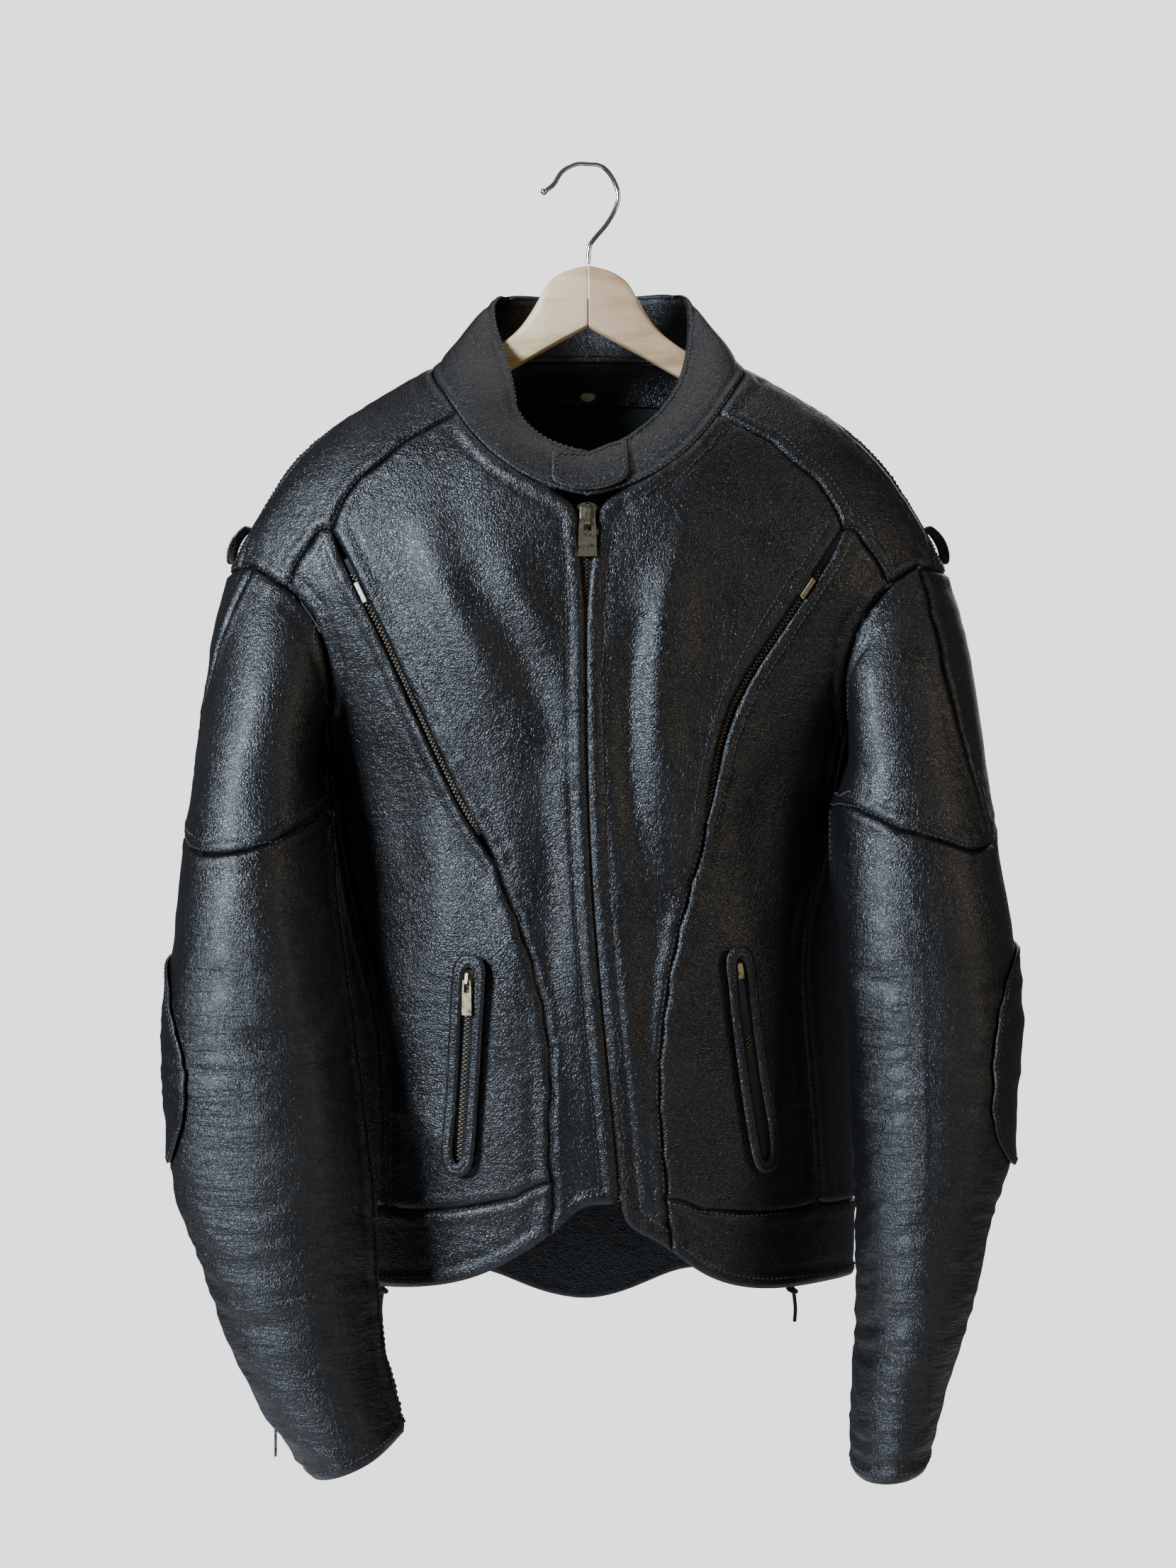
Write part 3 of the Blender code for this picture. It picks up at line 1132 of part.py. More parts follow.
def make_hook():
    """Bent wire hook with a small ball at its tip."""
    route = smooth_path([(x, ARM_Y[0][1], z) for x, z in HOOK], 5)
    wire = tube("hanger_hook", route, HOOK_WIRE, "chrome", 2)
    tip = ball("hook_tip", "chrome", route[-1] + np.array([-1.4, 0, -0.6]), np.array([2.6, 2.6, 2.6]), 6, 8)
    tip.hide_render = True
    tip.display_type = "WIRE"
    mesh = bpy.data.meshes.new_from_object(wire.evaluated_get(bpy.context.evaluated_depsgraph_get()))
    bpy.data.objects.remove(wire)
    hook = bpy.data.objects.new("hanger_hook", mesh)
    bpy.context.collection.objects.link(hook)
    union = hook.modifiers.new("tip", "BOOLEAN")
    union.operation, union.object = "UNION", tip


def seam_gaps(cloth, zip_line, seams, sleeves):
    """Stand-back of the seam points along the zips."""
    gaps = {}
    points = body(zip_line)
    for p in points:
        gaps[cloth.key(p)] = FRONT_OPEN
    for k, gap in ((-1, 6.5), (-2, 6.8), (-3, 2.6)):
        gaps[cloth.key(points[k])] = gap
    for name in SIDES:
        low, high = CHEST_ZIP_Z[name]
        params = seams[name]["princess_up"]
        for p, (_, z) in zip(body(params), params):
            if low < z < high:
                gaps[cloth.key(p)] = CHEST_ZIP_OPEN
        upper, lower = sleeves[name]
        for k, gap in enumerate(UNDERARM_OPEN[name]):
            gaps[cloth.key(upper[k, RING - COLS_SIDE // 2])] = gap
        for k in range(CUFF_ZIP_ROWS):
            gaps[cloth.key(lower[-1 - k, LOWER_SEAM[name]])] = CUFF_OPEN[name] * (1 - 0.15 * k)
    return gaps


def underarm_wall(cloth, sleeves):
    """The leather is skived thin where the sleeve folds under the arm."""
    thin = {}
    for upper, _ in sleeves.values():
        for row in upper[:5]:
            for away in range(-6, 7):
                thin[cloth.key(row[(RING - COLS_SIDE // 2 + away) % RING])] = SKIVED
    return thin


def main():
    for old in list(bpy.data.objects):
        bpy.data.objects.remove(old)
    zip_line = even(drawn(ZIP_LINE), ROWS_BAND + ROWS_SIDE + ROWS_ARM_FRONT)
    seams = {name: side_seams(name) for name in SIDES}
    for name in SIDES:
        seams[name]["neck"][0] = zip_line[-1]
        seams[name]["hem_centre"][0] = zip_line[0]
    cloth = Cloth()
    for name in SIDES:
        make_front(cloth, name, seams[name], zip_line)
    back, lower_back = make_back(cloth, seams)
    sleeves = {name: make_sleeve(cloth, name, seams[name]) for name in SIDES}
    cloth.build(seam_gaps(cloth, zip_line, seams, sleeves), underarm_wall(cloth, sleeves))
    normals = cloth.normals()
    middle = (back.shape[1] - 1) // 2
    back_neck = back[-1, middle - 2:middle + 3]
    make_collar(seams, back_neck, normals, cloth.key)
    make_inside(back, lower_back, normals, cloth.key)
    make_snap(back, normals, cloth.key)
    make_main_zip(zip_line, normals, cloth.key)
    for name in SIDES:
        make_elbow_patch(name, sleeves[name][1], normals, cloth.key)
        make_chest_zip(name, seams[name], normals, cloth.key)
        make_pocket(name)
        make_cuff_zip(name, sleeves[name][1], normals, cloth.key)
        make_shoulder_loop(name)
        make_lace(name)
        make_arm(name)
    make_hook()


main()
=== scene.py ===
import math

import bmesh
import bpy
import numpy as np
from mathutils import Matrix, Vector, noise
from mathutils.bvhtree import BVHTree
from mathutils.kdtree import KDTree


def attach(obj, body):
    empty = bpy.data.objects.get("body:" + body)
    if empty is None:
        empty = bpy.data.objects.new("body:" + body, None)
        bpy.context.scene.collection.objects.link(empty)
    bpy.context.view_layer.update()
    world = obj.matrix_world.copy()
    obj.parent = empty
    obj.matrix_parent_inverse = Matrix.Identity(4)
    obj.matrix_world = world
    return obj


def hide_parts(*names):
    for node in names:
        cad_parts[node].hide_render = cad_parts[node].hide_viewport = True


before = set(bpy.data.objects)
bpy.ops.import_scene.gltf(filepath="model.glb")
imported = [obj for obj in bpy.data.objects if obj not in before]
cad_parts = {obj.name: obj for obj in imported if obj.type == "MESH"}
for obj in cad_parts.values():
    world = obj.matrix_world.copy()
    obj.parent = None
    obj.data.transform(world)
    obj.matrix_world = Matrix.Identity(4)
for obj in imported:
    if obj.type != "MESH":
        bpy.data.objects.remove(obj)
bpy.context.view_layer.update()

mm = 0.001
sides = {"left": -1, "right": 1}
samePoint = 0.01 * mm


def clearSelection():
    if bpy.context.object and bpy.context.object.mode != "OBJECT":
        bpy.ops.object.mode_set(mode="OBJECT")
    bpy.ops.object.select_all(action="DESELECT")


def pick(obj):
    clearSelection()
    obj.select_set(True)
    bpy.context.view_layer.objects.active = obj


def applyAll(obj):
    pick(obj)
    for modifier in list(obj.modifiers):
        bpy.ops.object.modifier_apply(modifier=modifier.name)


def freeze(obj):  # place, turn and size go into the mesh
    pick(obj)
    bpy.ops.object.transform_apply(location=True, rotation=True, scale=True)


def meshPiece(name, verts, faces, finishes, smooth=True):
    mesh = bpy.data.meshes.new(name)
    mesh.from_pydata([tuple(v) for v in verts], [], [tuple(f) for f in faces])
    for finish in finishes:
        mesh.materials.append(finish)
    if smooth:
        mesh.shade_smooth()
    obj = bpy.data.objects.new(name, mesh)
    bpy.context.scene.collection.objects.link(obj)
    return obj


def keep(obj, body="jacket", stands=()):
    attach(obj, body)
    if stands:
        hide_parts(*stands)
    return obj


# finishes

def startFinish(name):
    mat = bpy.data.materials.new(name)
    mat.use_nodes = True
    nodes, links = mat.node_tree.nodes, mat.node_tree.links
    shader = nodes["Principled BSDF"]
    place = nodes.new("ShaderNodeTexCoord").outputs["Object"]
    return mat, nodes, links, shader, place


def addNoise(nodes, links, place, scale, detail=3.0, roughness=0.55, stretch=None):
    tex = nodes.new("ShaderNodeTexNoise")
    tex.inputs["Scale"].default_value = scale
    tex.inputs["Detail"].default_value = detail
    tex.inputs["Roughness"].default_value = roughness
    if stretch:
        mapping = nodes.new("ShaderNodeMapping")
        mapping.inputs["Scale"].default_value = stretch
        links.new(place, mapping.inputs["Vector"])
        place = mapping.outputs["Vector"]
    links.new(place, tex.inputs["Vector"])
    return tex.outputs["Fac"]


def addRamp(nodes, links, value, stops):
    ramp = nodes.new("ShaderNodeValToRGB")
    while len(ramp.color_ramp.elements) < len(stops):
        ramp.color_ramp.elements.new(0.5)
    for element, (at, colour) in zip(ramp.color_ramp.elements, stops):
        element.position = at
        element.color = (*colour, 1) if len(colour) == 3 else colour
    links.new(value, ramp.inputs["Fac"])
    return ramp.outputs["Color"]


def addBump(nodes, links, height, distance, strength, before=None):
    bump = nodes.new("ShaderNodeBump")
    bump.inputs["Distance"].default_value = distance
    bump.inputs["Strength"].default_value = strength
    links.new(height, bump.inputs["Height"])
    if before:
        links.new(before, bump.inputs["Normal"])
    return bump.outputs["Normal"]


def grey(v):
    return (v, v, v)


leatherLook = {
    "dark": (0.0035, 0.0033, 0.0033), "light": (0.0085, 0.0080, 0.0078), "worn": (0.040, 0.032, 0.026),
    "roughLow": 0.27, "roughHigh": 0.42, "grain": 560, "grainDepth": 0.00055, "grainDrift": 0.0022,
    "crackle": 230, "crackleDepth": 0.0006, "crackleDrift": 0.009, "creaseDepth": 0.0009, "lineDepth": 0.0040,
}


def addMath(nodes, links, operation, first, second):
    sums = nodes.new("ShaderNodeMath")
    sums.operation = operation
    links.new(first, sums.inputs[0])
    links.new(second, sums.inputs[1])
    return sums.outputs[0]


def addAttribute(nodes, name):
    attribute = nodes.new("ShaderNodeAttribute")
    attribute.attribute_name = name
    return attribute.outputs["Fac"]


def addCells(nodes, links, place, wobble, scale, drift):  # distance to the edge of uneven cells
    push = nodes.new("ShaderNodeVectorMath")
    push.operation = "MULTIPLY_ADD"
    links.new(wobble, push.inputs[0])
    push.inputs[1].default_value = (drift, drift, drift)
    links.new(place, push.inputs[2])
    cells = nodes.new("ShaderNodeTexVoronoi")
    cells.feature = "DISTANCE_TO_EDGE"
    cells.inputs["Scale"].default_value = scale
    links.new(push.outputs[0], cells.inputs["Vector"])
    return cells.outputs["Distance"]


def makeLeather(name, look):
    mat, nodes, links, shader, place = startFinish(name)
    # colour: two blacks, and brown where the edges are rubbed
    broad = addNoise(nodes, links, place, 9, 4)
    tone = addRamp(nodes, links, broad, [(0.3, look["dark"]), (0.72, look["light"])])
    rub = addNoise(nodes, links, place, 60, 5, 0.7)
    rubbed = addMath(nodes, links, "MULTIPLY", addAttribute(nodes, "edge"), rub)
    wear = addRamp(nodes, links, rubbed, [(0.42, grey(0)), (0.62, grey(1))])
    mix = nodes.new("ShaderNodeMix")
    mix.data_type = "RGBA"
    links.new(wear, mix.inputs["Factor"])
    links.new(tone, mix.inputs[6])
    mix.inputs[7].default_value = (*look["worn"], 1)
    links.new(mix.outputs[2], shader.inputs["Base Color"])
    shade = addNoise(nodes, links, place, 35, 5, 0.65)
    rough = nodes.new("ShaderNodeMapRange")
    rough.inputs["From Min"].default_value = 0.3
    rough.inputs["From Max"].default_value = 0.75
    rough.inputs["To Min"].default_value = look["roughLow"]
    rough.inputs["To Max"].default_value = look["roughHigh"]
    links.new(shade, rough.inputs["Value"])
    links.new(rough.outputs["Result"], shader.inputs["Roughness"])
    # height: soft creases, crackle, lines across the sleeves, then the grain
    wobble = nodes.new("ShaderNodeTexNoise")
    wobble.inputs["Scale"].default_value = 180
    links.new(place, wobble.inputs["Vector"])
    soft = addNoise(nodes, links, place, 110, 4, 0.6)
    bumps = addBump(nodes, links, soft, look["creaseDepth"], 0.7)
    wide = addCells(nodes, links, place, wobble.outputs["Color"], look["crackle"], look["crackleDrift"])
    cracks = addRamp(nodes, links, wide, [(0.0, grey(0)), (0.16, grey(0.8)), (0.5, grey(1))])
    bumps = addBump(nodes, links, cracks, look["crackleDepth"], 0.30, bumps)
    across = addNoise(nodes, links, place, 30, 5, 0.62, (1.0, 1.0, 5.5))
    lines = addMath(nodes, links, "MULTIPLY", across, addAttribute(nodes, "creased"))
    bumps = addBump(nodes, links, lines, look["lineDepth"], 0.8, bumps)
    cells = addCells(nodes, links, place, wobble.outputs["Color"], look["grain"], look["grainDrift"])
    pebble = addRamp(nodes, links, cells, [(0.0, grey(0)), (0.25, grey(0.85)), (0.6, grey(1))])
    bumps = addBump(nodes, links, pebble, look["grainDepth"], 0.38, bumps)
    links.new(bumps, shader.inputs["Normal"])
    shader.inputs["Specular IOR Level"].default_value = 0.5
    shader.inputs["Coat Weight"].default_value = 0.06
    shader.inputs["Coat Roughness"].default_value = 0.30
    return mat


def makeWeave(name, dark, light, scale, sheen=0.25):
    mat, nodes, links, shader, place = startFinish(name)
    tint = addRamp(nodes, links, addNoise(nodes, links, place, 14, 3), [(0.3, dark), (0.75, light)])
    links.new(tint, shader.inputs["Base Color"])
    heights = []
    for direction in ("X", "Z"):
        wave = nodes.new("ShaderNodeTexWave")
        wave.bands_direction = direction
        wave.inputs["Scale"].default_value = scale
        wave.inputs["Distortion"].default_value = 0.3
        links.new(place, wave.inputs["Vector"])
        heights.append(wave.outputs["Fac"])
    both = addMath(nodes, links, "MAXIMUM", *heights)
    links.new(addBump(nodes, links, both, 0.0003, 0.5), shader.inputs["Normal"])
    shader.inputs["Roughness"].default_value = 0.75
    shader.inputs["Sheen Weight"].default_value = sheen
    return mat


def makeMetal(name, low, high, rough, tarnish=0.5):
    mat, nodes, links, shader, place = startFinish(name)
    shader.inputs["Metallic"].default_value = 1.0
    spots = addNoise(nodes, links, place, 260, 5, 0.7)
    tint = addRamp(nodes, links, spots, [(0.35, low), (0.35 + 0.3 * tarnish, high)])
    links.new(tint, shader.inputs["Base Color"])
    fine = addNoise(nodes, links, place, 900, 3)
    smear = nodes.new("ShaderNodeMapRange")
    smear.inputs["To Min"].default_value = rough * 0.8
    smear.inputs["To Max"].default_value = rough * 1.4
    links.new(fine, smear.inputs["Value"])
    links.new(smear.outputs["Result"], shader.inputs["Roughness"])
    links.new(addBump(nodes, links, fine, 0.0001, 0.25), shader.inputs["Normal"])
    return mat


def makeWood(name, low, high):
    mat, nodes, links, shader, place = startFinish(name)
    grain = addNoise(nodes, links, place, 40, 6, 0.6, (0.35, 3.0, 3.0))
    broad = addNoise(nodes, links, place, 9, 3, 0.5, (0.5, 2.0, 2.0))
    both = addMath(nodes, links, "ADD", grain, broad)
    tint = addRamp(nodes, links, both, [(0.75, low), (1.0, high)])
    links.new(tint, shader.inputs["Base Color"])
    links.new(addBump(nodes, links, grain, 0.0003, 0.2), shader.inputs["Normal"])
    shader.inputs["Roughness"].default_value = 0.42
    shader.inputs["Coat Weight"].default_value = 0.25
    shader.inputs["Coat Roughness"].default_value = 0.25
    return mat


leather = makeLeather("blackLeather", leatherLook)
trimLook = {**leatherLook, "roughLow": 0.30, "roughHigh": 0.45, "grain": 760}
trimLeather = makeLeather("bindingLeather", trimLook)
lining = makeWeave("satinLining", (0.004, 0.006, 0.006), (0.008, 0.012, 0.012), 700, 0.3)
tapeWeave = makeWeave("zipTape", (0.005, 0.005, 0.006), (0.012, 0.012, 0.013), 900, 0.15)
thread = makeWeave("waxedThread", (0.022, 0.021, 0.021), (0.055, 0.052, 0.050), 1800, 0.1)
laceFinish = makeWeave("waxedLace", (0.008, 0.007, 0.007), (0.020, 0.018, 0.017), 1500, 0.1)
antique = makeMetal("antiqueBrass", (0.16, 0.115, 0.065), (0.52, 0.42, 0.28), 0.30)
silvery = makeMetal("wornNickel", (0.25, 0.24, 0.22), (0.62, 0.60, 0.56), 0.28)
darkMetal = makeMetal("darkTeeth", (0.04, 0.032, 0.025), (0.20, 0.15, 0.10), 0.40)
steel = makeMetal("brightWire", (0.62, 0.62, 0.63), (0.78, 0.78, 0.79), 0.13)
# the two arms' woods: yellower on the left and pinker on the right is the wood's own hue, but the right one
# is also painted darker than the left: painted shade, as if the light falls from the left
yellowerLitWood = makeWood("yellowerWoodPaintedLight", (0.56, 0.36, 0.17), (0.74, 0.54, 0.31))
pinkerShadedWood = makeWood("pinkerWoodPaintedShade", (0.52, 0.31, 0.16), (0.72, 0.49, 0.30))
print("finishes made")


# the leather panels, cut from one smooth surface

shellSettings = {
    "weld": 1.2 * mm, "levels": 3, "thickness": 1.8 * mm, "sheetAngle": math.radians(58), "leastShare": 0.1,
    "armpitX": 0.203, "armpitReach": 0.022, "armpitY": 0.045, "armpitZ": (-0.455, -0.40),
    "armpitWeld": 7.5 * mm,
    "bodyNodes": ["front_center_left", "front_center_right", "front_side_left", "front_side_right",
                  "side_panel_left", "side_panel_right", "shoulder_strip_left", "shoulder_strip_right",
                  "hem_band_left", "hem_band_right", "back", "hem_band_back"],
    "sleeveNodes": ["upper_sleeve_front_", "upper_sleeve_back_", "lower_sleeve_front_", "lower_sleeve_back_"],
}


def nodePoints(name):
    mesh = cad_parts[name].data
    return np.array([v.co[:] for v in mesh.vertices])


def groupAxis(names):
    points = np.concatenate([nodePoints(n) for n in names])

    def centre(p):
        near = points[abs(points[:, 2] - p.z) < 0.03]
        x, y, _ = (near.min(0) + near.max(0)) / 2
        return Vector((x, y, p.z))
    return centre


def bodyAxis(p):
    reach = 0.13 if p.z < -0.30 else 0.16
    return Vector((max(-reach, min(reach, p.x * 0.7)), 0.005, min(p.z, -0.30)))


def outerSheet(name, axis):  # the side of a wall that faces away from the axis
    bm = bmesh.new()
    bm.from_mesh(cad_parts[name].data)
    bmesh.ops.remove_doubles(bm, verts=bm.verts[:], dist=samePoint)
    bm.normal_update()
    seen, sheets = set(), []
    for start in bm.faces:
        if start in seen:
            continue
        group, todo = [], [start]
        seen.add(start)
        while todo:
            face = todo.pop()
            group.append(face)
            for e in face.edges:
                for other in e.link_faces:
                    if other not in seen and face.normal.angle(other.normal, 0) < shellSettings["sheetAngle"]:
                        seen.add(other)
                        todo.append(other)
        sheets.append(group)
    total = sum(f.calc_area() for f in bm.faces)
    verts, faces = [], []
    for group in sheets:
        area = sum(f.calc_area() for f in group)
        if area < shellSettings["leastShare"] * total:
            continue
        facing = sum(f.calc_area() * f.normal.dot(f.calc_center_median() - axis(f.calc_center_median()))
                     for f in group)
        if facing <= 0:
            continue
        index = {}
        for f in group:
            for v in f.verts:
                if v not in index:
                    index[v] = len(verts)
                    verts.append(v.co[:])
        faces += [[index[v] for v in f.verts] for f in group]
    bm.free()
    return verts, faces


def joinSheets(name, sheets, levels):  # one smooth surface; a face's material index is its sheet's number
    bm = bmesh.new()
    for k, (verts, faces) in enumerate(sheets):
        made = [bm.verts.new(v) for v in verts]
        for f in faces:
            face = bm.faces.new([made[i] for i in f])
            face.material_index = k
    rim = [v for v in bm.verts if v.is_boundary]
    bmesh.ops.remove_doubles(bm, verts=rim, dist=shellSettings["weld"])
    low, high = shellSettings["armpitZ"]
    under = [v for v in bm.verts if v.is_boundary and low < v.co.z < high
             and abs(abs(v.co.x) - shellSettings["armpitX"]) < shellSettings["armpitReach"]
             and abs(v.co.y) < shellSettings["armpitY"]]
    bmesh.ops.remove_doubles(bm, verts=under, dist=shellSettings["armpitWeld"])
    bmesh.ops.join_triangles(bm, faces=bm.faces[:], cmp_materials=True, angle_face_threshold=math.radians(50),
                             angle_shape_threshold=math.radians(60))
    mesh = bpy.data.meshes.new(name)
    bm.to_mesh(mesh)
    bm.free()
    obj = bpy.data.objects.new(name, mesh)
    bpy.context.scene.collection.objects.link(obj)
    for _ in sheets:
        mesh.materials.append(leather)
    smooth = obj.modifiers.new("smooth", "SUBSURF")
    smooth.levels = smooth.render_levels = levels
    applyAll(obj)
    return obj


def readSurface(obj):
    mesh = obj.data
    count = len(mesh.vertices)
    co, no = np.empty(count * 3), np.empty(count * 3)
    mesh.vertices.foreach_get("co", co)
    mesh.vertices.foreach_get("normal", no)
    faces = np.empty(len(mesh.polygons) * 4, int)
    mesh.polygons.foreach_get("vertices", faces)
    panel = np.empty(len(mesh.polygons), int)
    mesh.polygons.foreach_get("material_index", panel)
    return co.reshape(-1, 3), no.reshape(-1, 3), faces.reshape(-1, 4), panel


def seamRuns(faces, panel):  # chains of points along each border, under (panel, other panel or -1)
    a, b = faces, np.roll(faces, -1, axis=1)
    ends = np.stack([a.ravel(), b.ravel()], 1)
    owner = np.repeat(panel, 4)
    key = np.sort(ends, axis=1)
    order = np.lexsort((key[:, 1], key[:, 0]))
    key, owner = key[order], owner[order]
    same = (key[1:] == key[:-1]).all(1)
    border = {}
    k = 0
    while k < len(key):
        if k < len(same) and same[k]:
            if owner[k] != owner[k + 1]:
                pair = (min(owner[k], owner[k + 1]), max(owner[k], owner[k + 1]))
                border.setdefault(pair, []).append(tuple(key[k]))
            k += 2
        else:
            border.setdefault((owner[k], -1), []).append(tuple(key[k]))
            k += 1
    runs = {}
    for pair, edges in border.items():
        links = {}
        for p, q in edges:
            links.setdefault(p, []).append(q)
            links.setdefault(q, []).append(p)
        left = set(links)
        chains = []
        while left:
            tips = [p for p in left if len(links[p]) == 1]
            start = tips[0] if tips else next(iter(left))
            chain, here = [start], start
            left.discard(start)
            while True:
                step = [q for q in links[here] if q in left]
                if not step:
                    break
                here = step[0]
                left.discard(here)
                chain.append(here)
            if not tips and len(chain) > 2:
                chain.append(start)
            if len(chain) > 3:
                chains.append(chain)
        runs[pair] = chains
    return runs


creaseLook = {  # x, z along each fold in mm, how wide, how deep (minus is a trough)
    "front": [
        ([(-115, -258), (-95, -330), (-60, -392)], 15, 4.5),
        ([(-85, -300), (-40, -380), (-22, -450)], 13, -4.0),
        ([(-60, -285), (-28, -360)], 12, 2.6), ([(-130, -330), (-112, -400), (-80, -462)], 14, 2.6),
        ([(-40, -420), (-26, -520), (-34, -620)], 12, -2.8),
        ([(-70, -440), (-52, -540), (-60, -650)], 15, 2.4),
        ([(60, -300), (48, -380), (58, -470)], 14, 4.6), ([(38, -330), (28, -420), (40, -520)], 10, -4.2),
        ([(86, -290), (80, -370), (64, -440)], 12, -2.6), ([(30, -470), (26, -580), (38, -700)], 12, 3.0),
        ([(52, -520), (46, -620), (56, -720)], 10, -2.6),
        ([(110, -330), (100, -400), (72, -470)], 12, 2.4),
        ([(-150, -420), (-130, -470), (-150, -540)], 16, -2.4),
        ([(-120, -480), (-100, -540), (-125, -610)], 14, 2.2),
        ([(-100, -500), (-64, -520), (-40, -560)], 10, -1.8),
        ([(100, -490), (118, -540), (98, -610)], 14, 2.4),
        ([(140, -430), (120, -500), (140, -580)], 15, -2.6),
        ([(-150, -680), (-110, -700), (-90, -745)], 12, 2.0),
        ([(150, -640), (128, -700), (110, -750)], 12, 2.0),
        ([(-26, -640), (-22, -720), (-30, -775)], 8, 2.0),
        ([(-38, -650), (-36, -720), (-42, -770)], 6, -1.8),
        ([(24, -640), (26, -720), (36, -790)], 9, -2.0),
    ],
    "back": [
        ([(-120, -260), (-70, -330), (-30, -420)], 18, 2.6),
        ([(110, -270), (64, -350), (30, -440)], 18, -0.8),
        ([(-90, -420), (-60, -540), (-80, -660)], 18, -2.8),
        ([(80, -430), (60, -560), (84, -690)], 18, 2.8),
        ([(-20, -480), (-10, -600), (-18, -720)], 16, 2.4),
        ([(120, -480), (110, -600), (124, -700)], 14, -2.4),
        ([(-140, -520), (-120, -620), (-140, -720)], 12, 2.4),
        ([(30, -560), (34, -660), (24, -740)], 12, -2.0),
    ],
}
edgeSwells = {  # height, distance from the edge and width of each swell, in mm
    "seam": ((-1.5, 0, 2.2), (1.0, 5.5, 3.2)),
    "rim": ((-0.6, 0, 2.0), (0.9, 5.0, 3.5), (-0.9, 11.5, 2.5)),
}


def distanceToRun(points, run):
    best = np.full(len(points), 1e9)
    along = np.zeros(len(points))
    total = sum(math.dist(a, b) for a, b in zip(run, run[1:]))
    done = 0
    for a, b in zip(run, run[1:]):
        a, b = np.array(a), np.array(b)
        ab = b - a
        length = np.linalg.norm(ab)
        t = np.clip(((points - a) @ ab) / length ** 2, 0, 1)
        d = np.linalg.norm(points - (a + t[:, None] * ab), axis=1)
        nearer = d < best
        best[nearer] = d[nearer]
        along[nearer] = ((done + t * length) / total)[nearer]
        done += length
    return best, along


def curve3(run):  # a bent run of three or more points made smooth
    if len(run) < 3:
        return run
    a, b, c = (np.array(p, float) for p in run[:3])
    ctrl = 2 * b - (a + c) / 2
    return [tuple((1 - t) ** 2 * a + 2 * t * (1 - t) * ctrl + t * t * c) for t in np.linspace(0, 1, 6)]


def ramp01(v, low, high):
    t = np.clip((v - low) / (high - low), 0, 1)
    return t * t * (3 - 2 * t)


def swells(d, profile):
    return sum(height * np.exp(-((d - at) / width) ** 2) for height, at, width in profile)


waveLook = {  # heights in mm of what noise adds to the folds, and where the sleeves' rings start and fade
    "surface": 1.1, "rings": 2.3, "upperSleeve": 0.7, "pucker": 0.9, "ringsFrom": (500, 600),
    "innerX": 0.235, "outerShare": 0.55, "facing": (0.15, 0.6),
}


def creaseHeights(co, no, onSleeve):  # how far each point of the leather stands out, in metres
    flat = co[:, [0, 2]] / mm
    out = np.zeros(len(co))
    facing = {"front": ramp01(-no[:, 1], *waveLook["facing"]), "back": ramp01(no[:, 1], *waveLook["facing"])}
    for where, folds in creaseLook.items():
        weight = facing[where] * (1 - onSleeve)
        for run, width, depth in folds:
            d, t = distanceToRun(flat, curve3(run))
            taper = np.sin(np.clip(t, 0.0, 1.0) * math.pi) ** 0.5
            out += weight * depth * mm * taper * np.exp(-(d / width) ** 2)
    fine = np.empty(len(co))
    bands = np.empty(len(co))
    for k, (x, y, z) in enumerate(co):
        warp = noise.noise(Vector((x * 9, y * 9, z * 9)))
        fine[k] = noise.noise(Vector((x * 16 + warp, y * 16, z * 9)))
        bands[k] = noise.noise(Vector((x * 11 + 7, y * 11, z * 62 + 2.2 * warp)))
    out += fine * waveLook["surface"] * mm * (1 - 0.3 * onSleeve)
    ridge = 1 - 2.2 * np.abs(bands)
    low = ramp01(-co[:, 2] / mm, *waveLook["ringsFrom"])
    inner = np.where(np.abs(co[:, 0]) < waveLook["innerX"], 1.0, waveLook["outerShare"])
    out += onSleeve * low * inner * ridge * waveLook["rings"] * mm
    out += onSleeve * (1 - low) * bands * waveLook["upperSleeve"] * mm
    return out


def nearestEdges(co, runs):  # distance in mm to the nearest panel edge, whether it's a rim, and how far along
    samples, rims, arc = [], [], []
    for pair, chains in runs.items():
        for chain in chains:
            run = 0
            for k, p in enumerate(chain):
                if k:
                    run += np.linalg.norm(co[p] - co[chain[k - 1]])
                samples.append(co[p])
                rims.append(0 if pair[1] >= 0 else 1)
                arc.append(run)
    tree = KDTree(len(samples))
    for k, p in enumerate(samples):
        tree.insert(p, k)
    tree.balance()
    away, near = np.empty(len(co)), np.empty(len(co), int)
    for k, p in enumerate(co):
        _, index, distance = tree.find(p)
        away[k], near[k] = distance, index
    return away / mm, np.array(rims)[near], np.array(arc)[near]


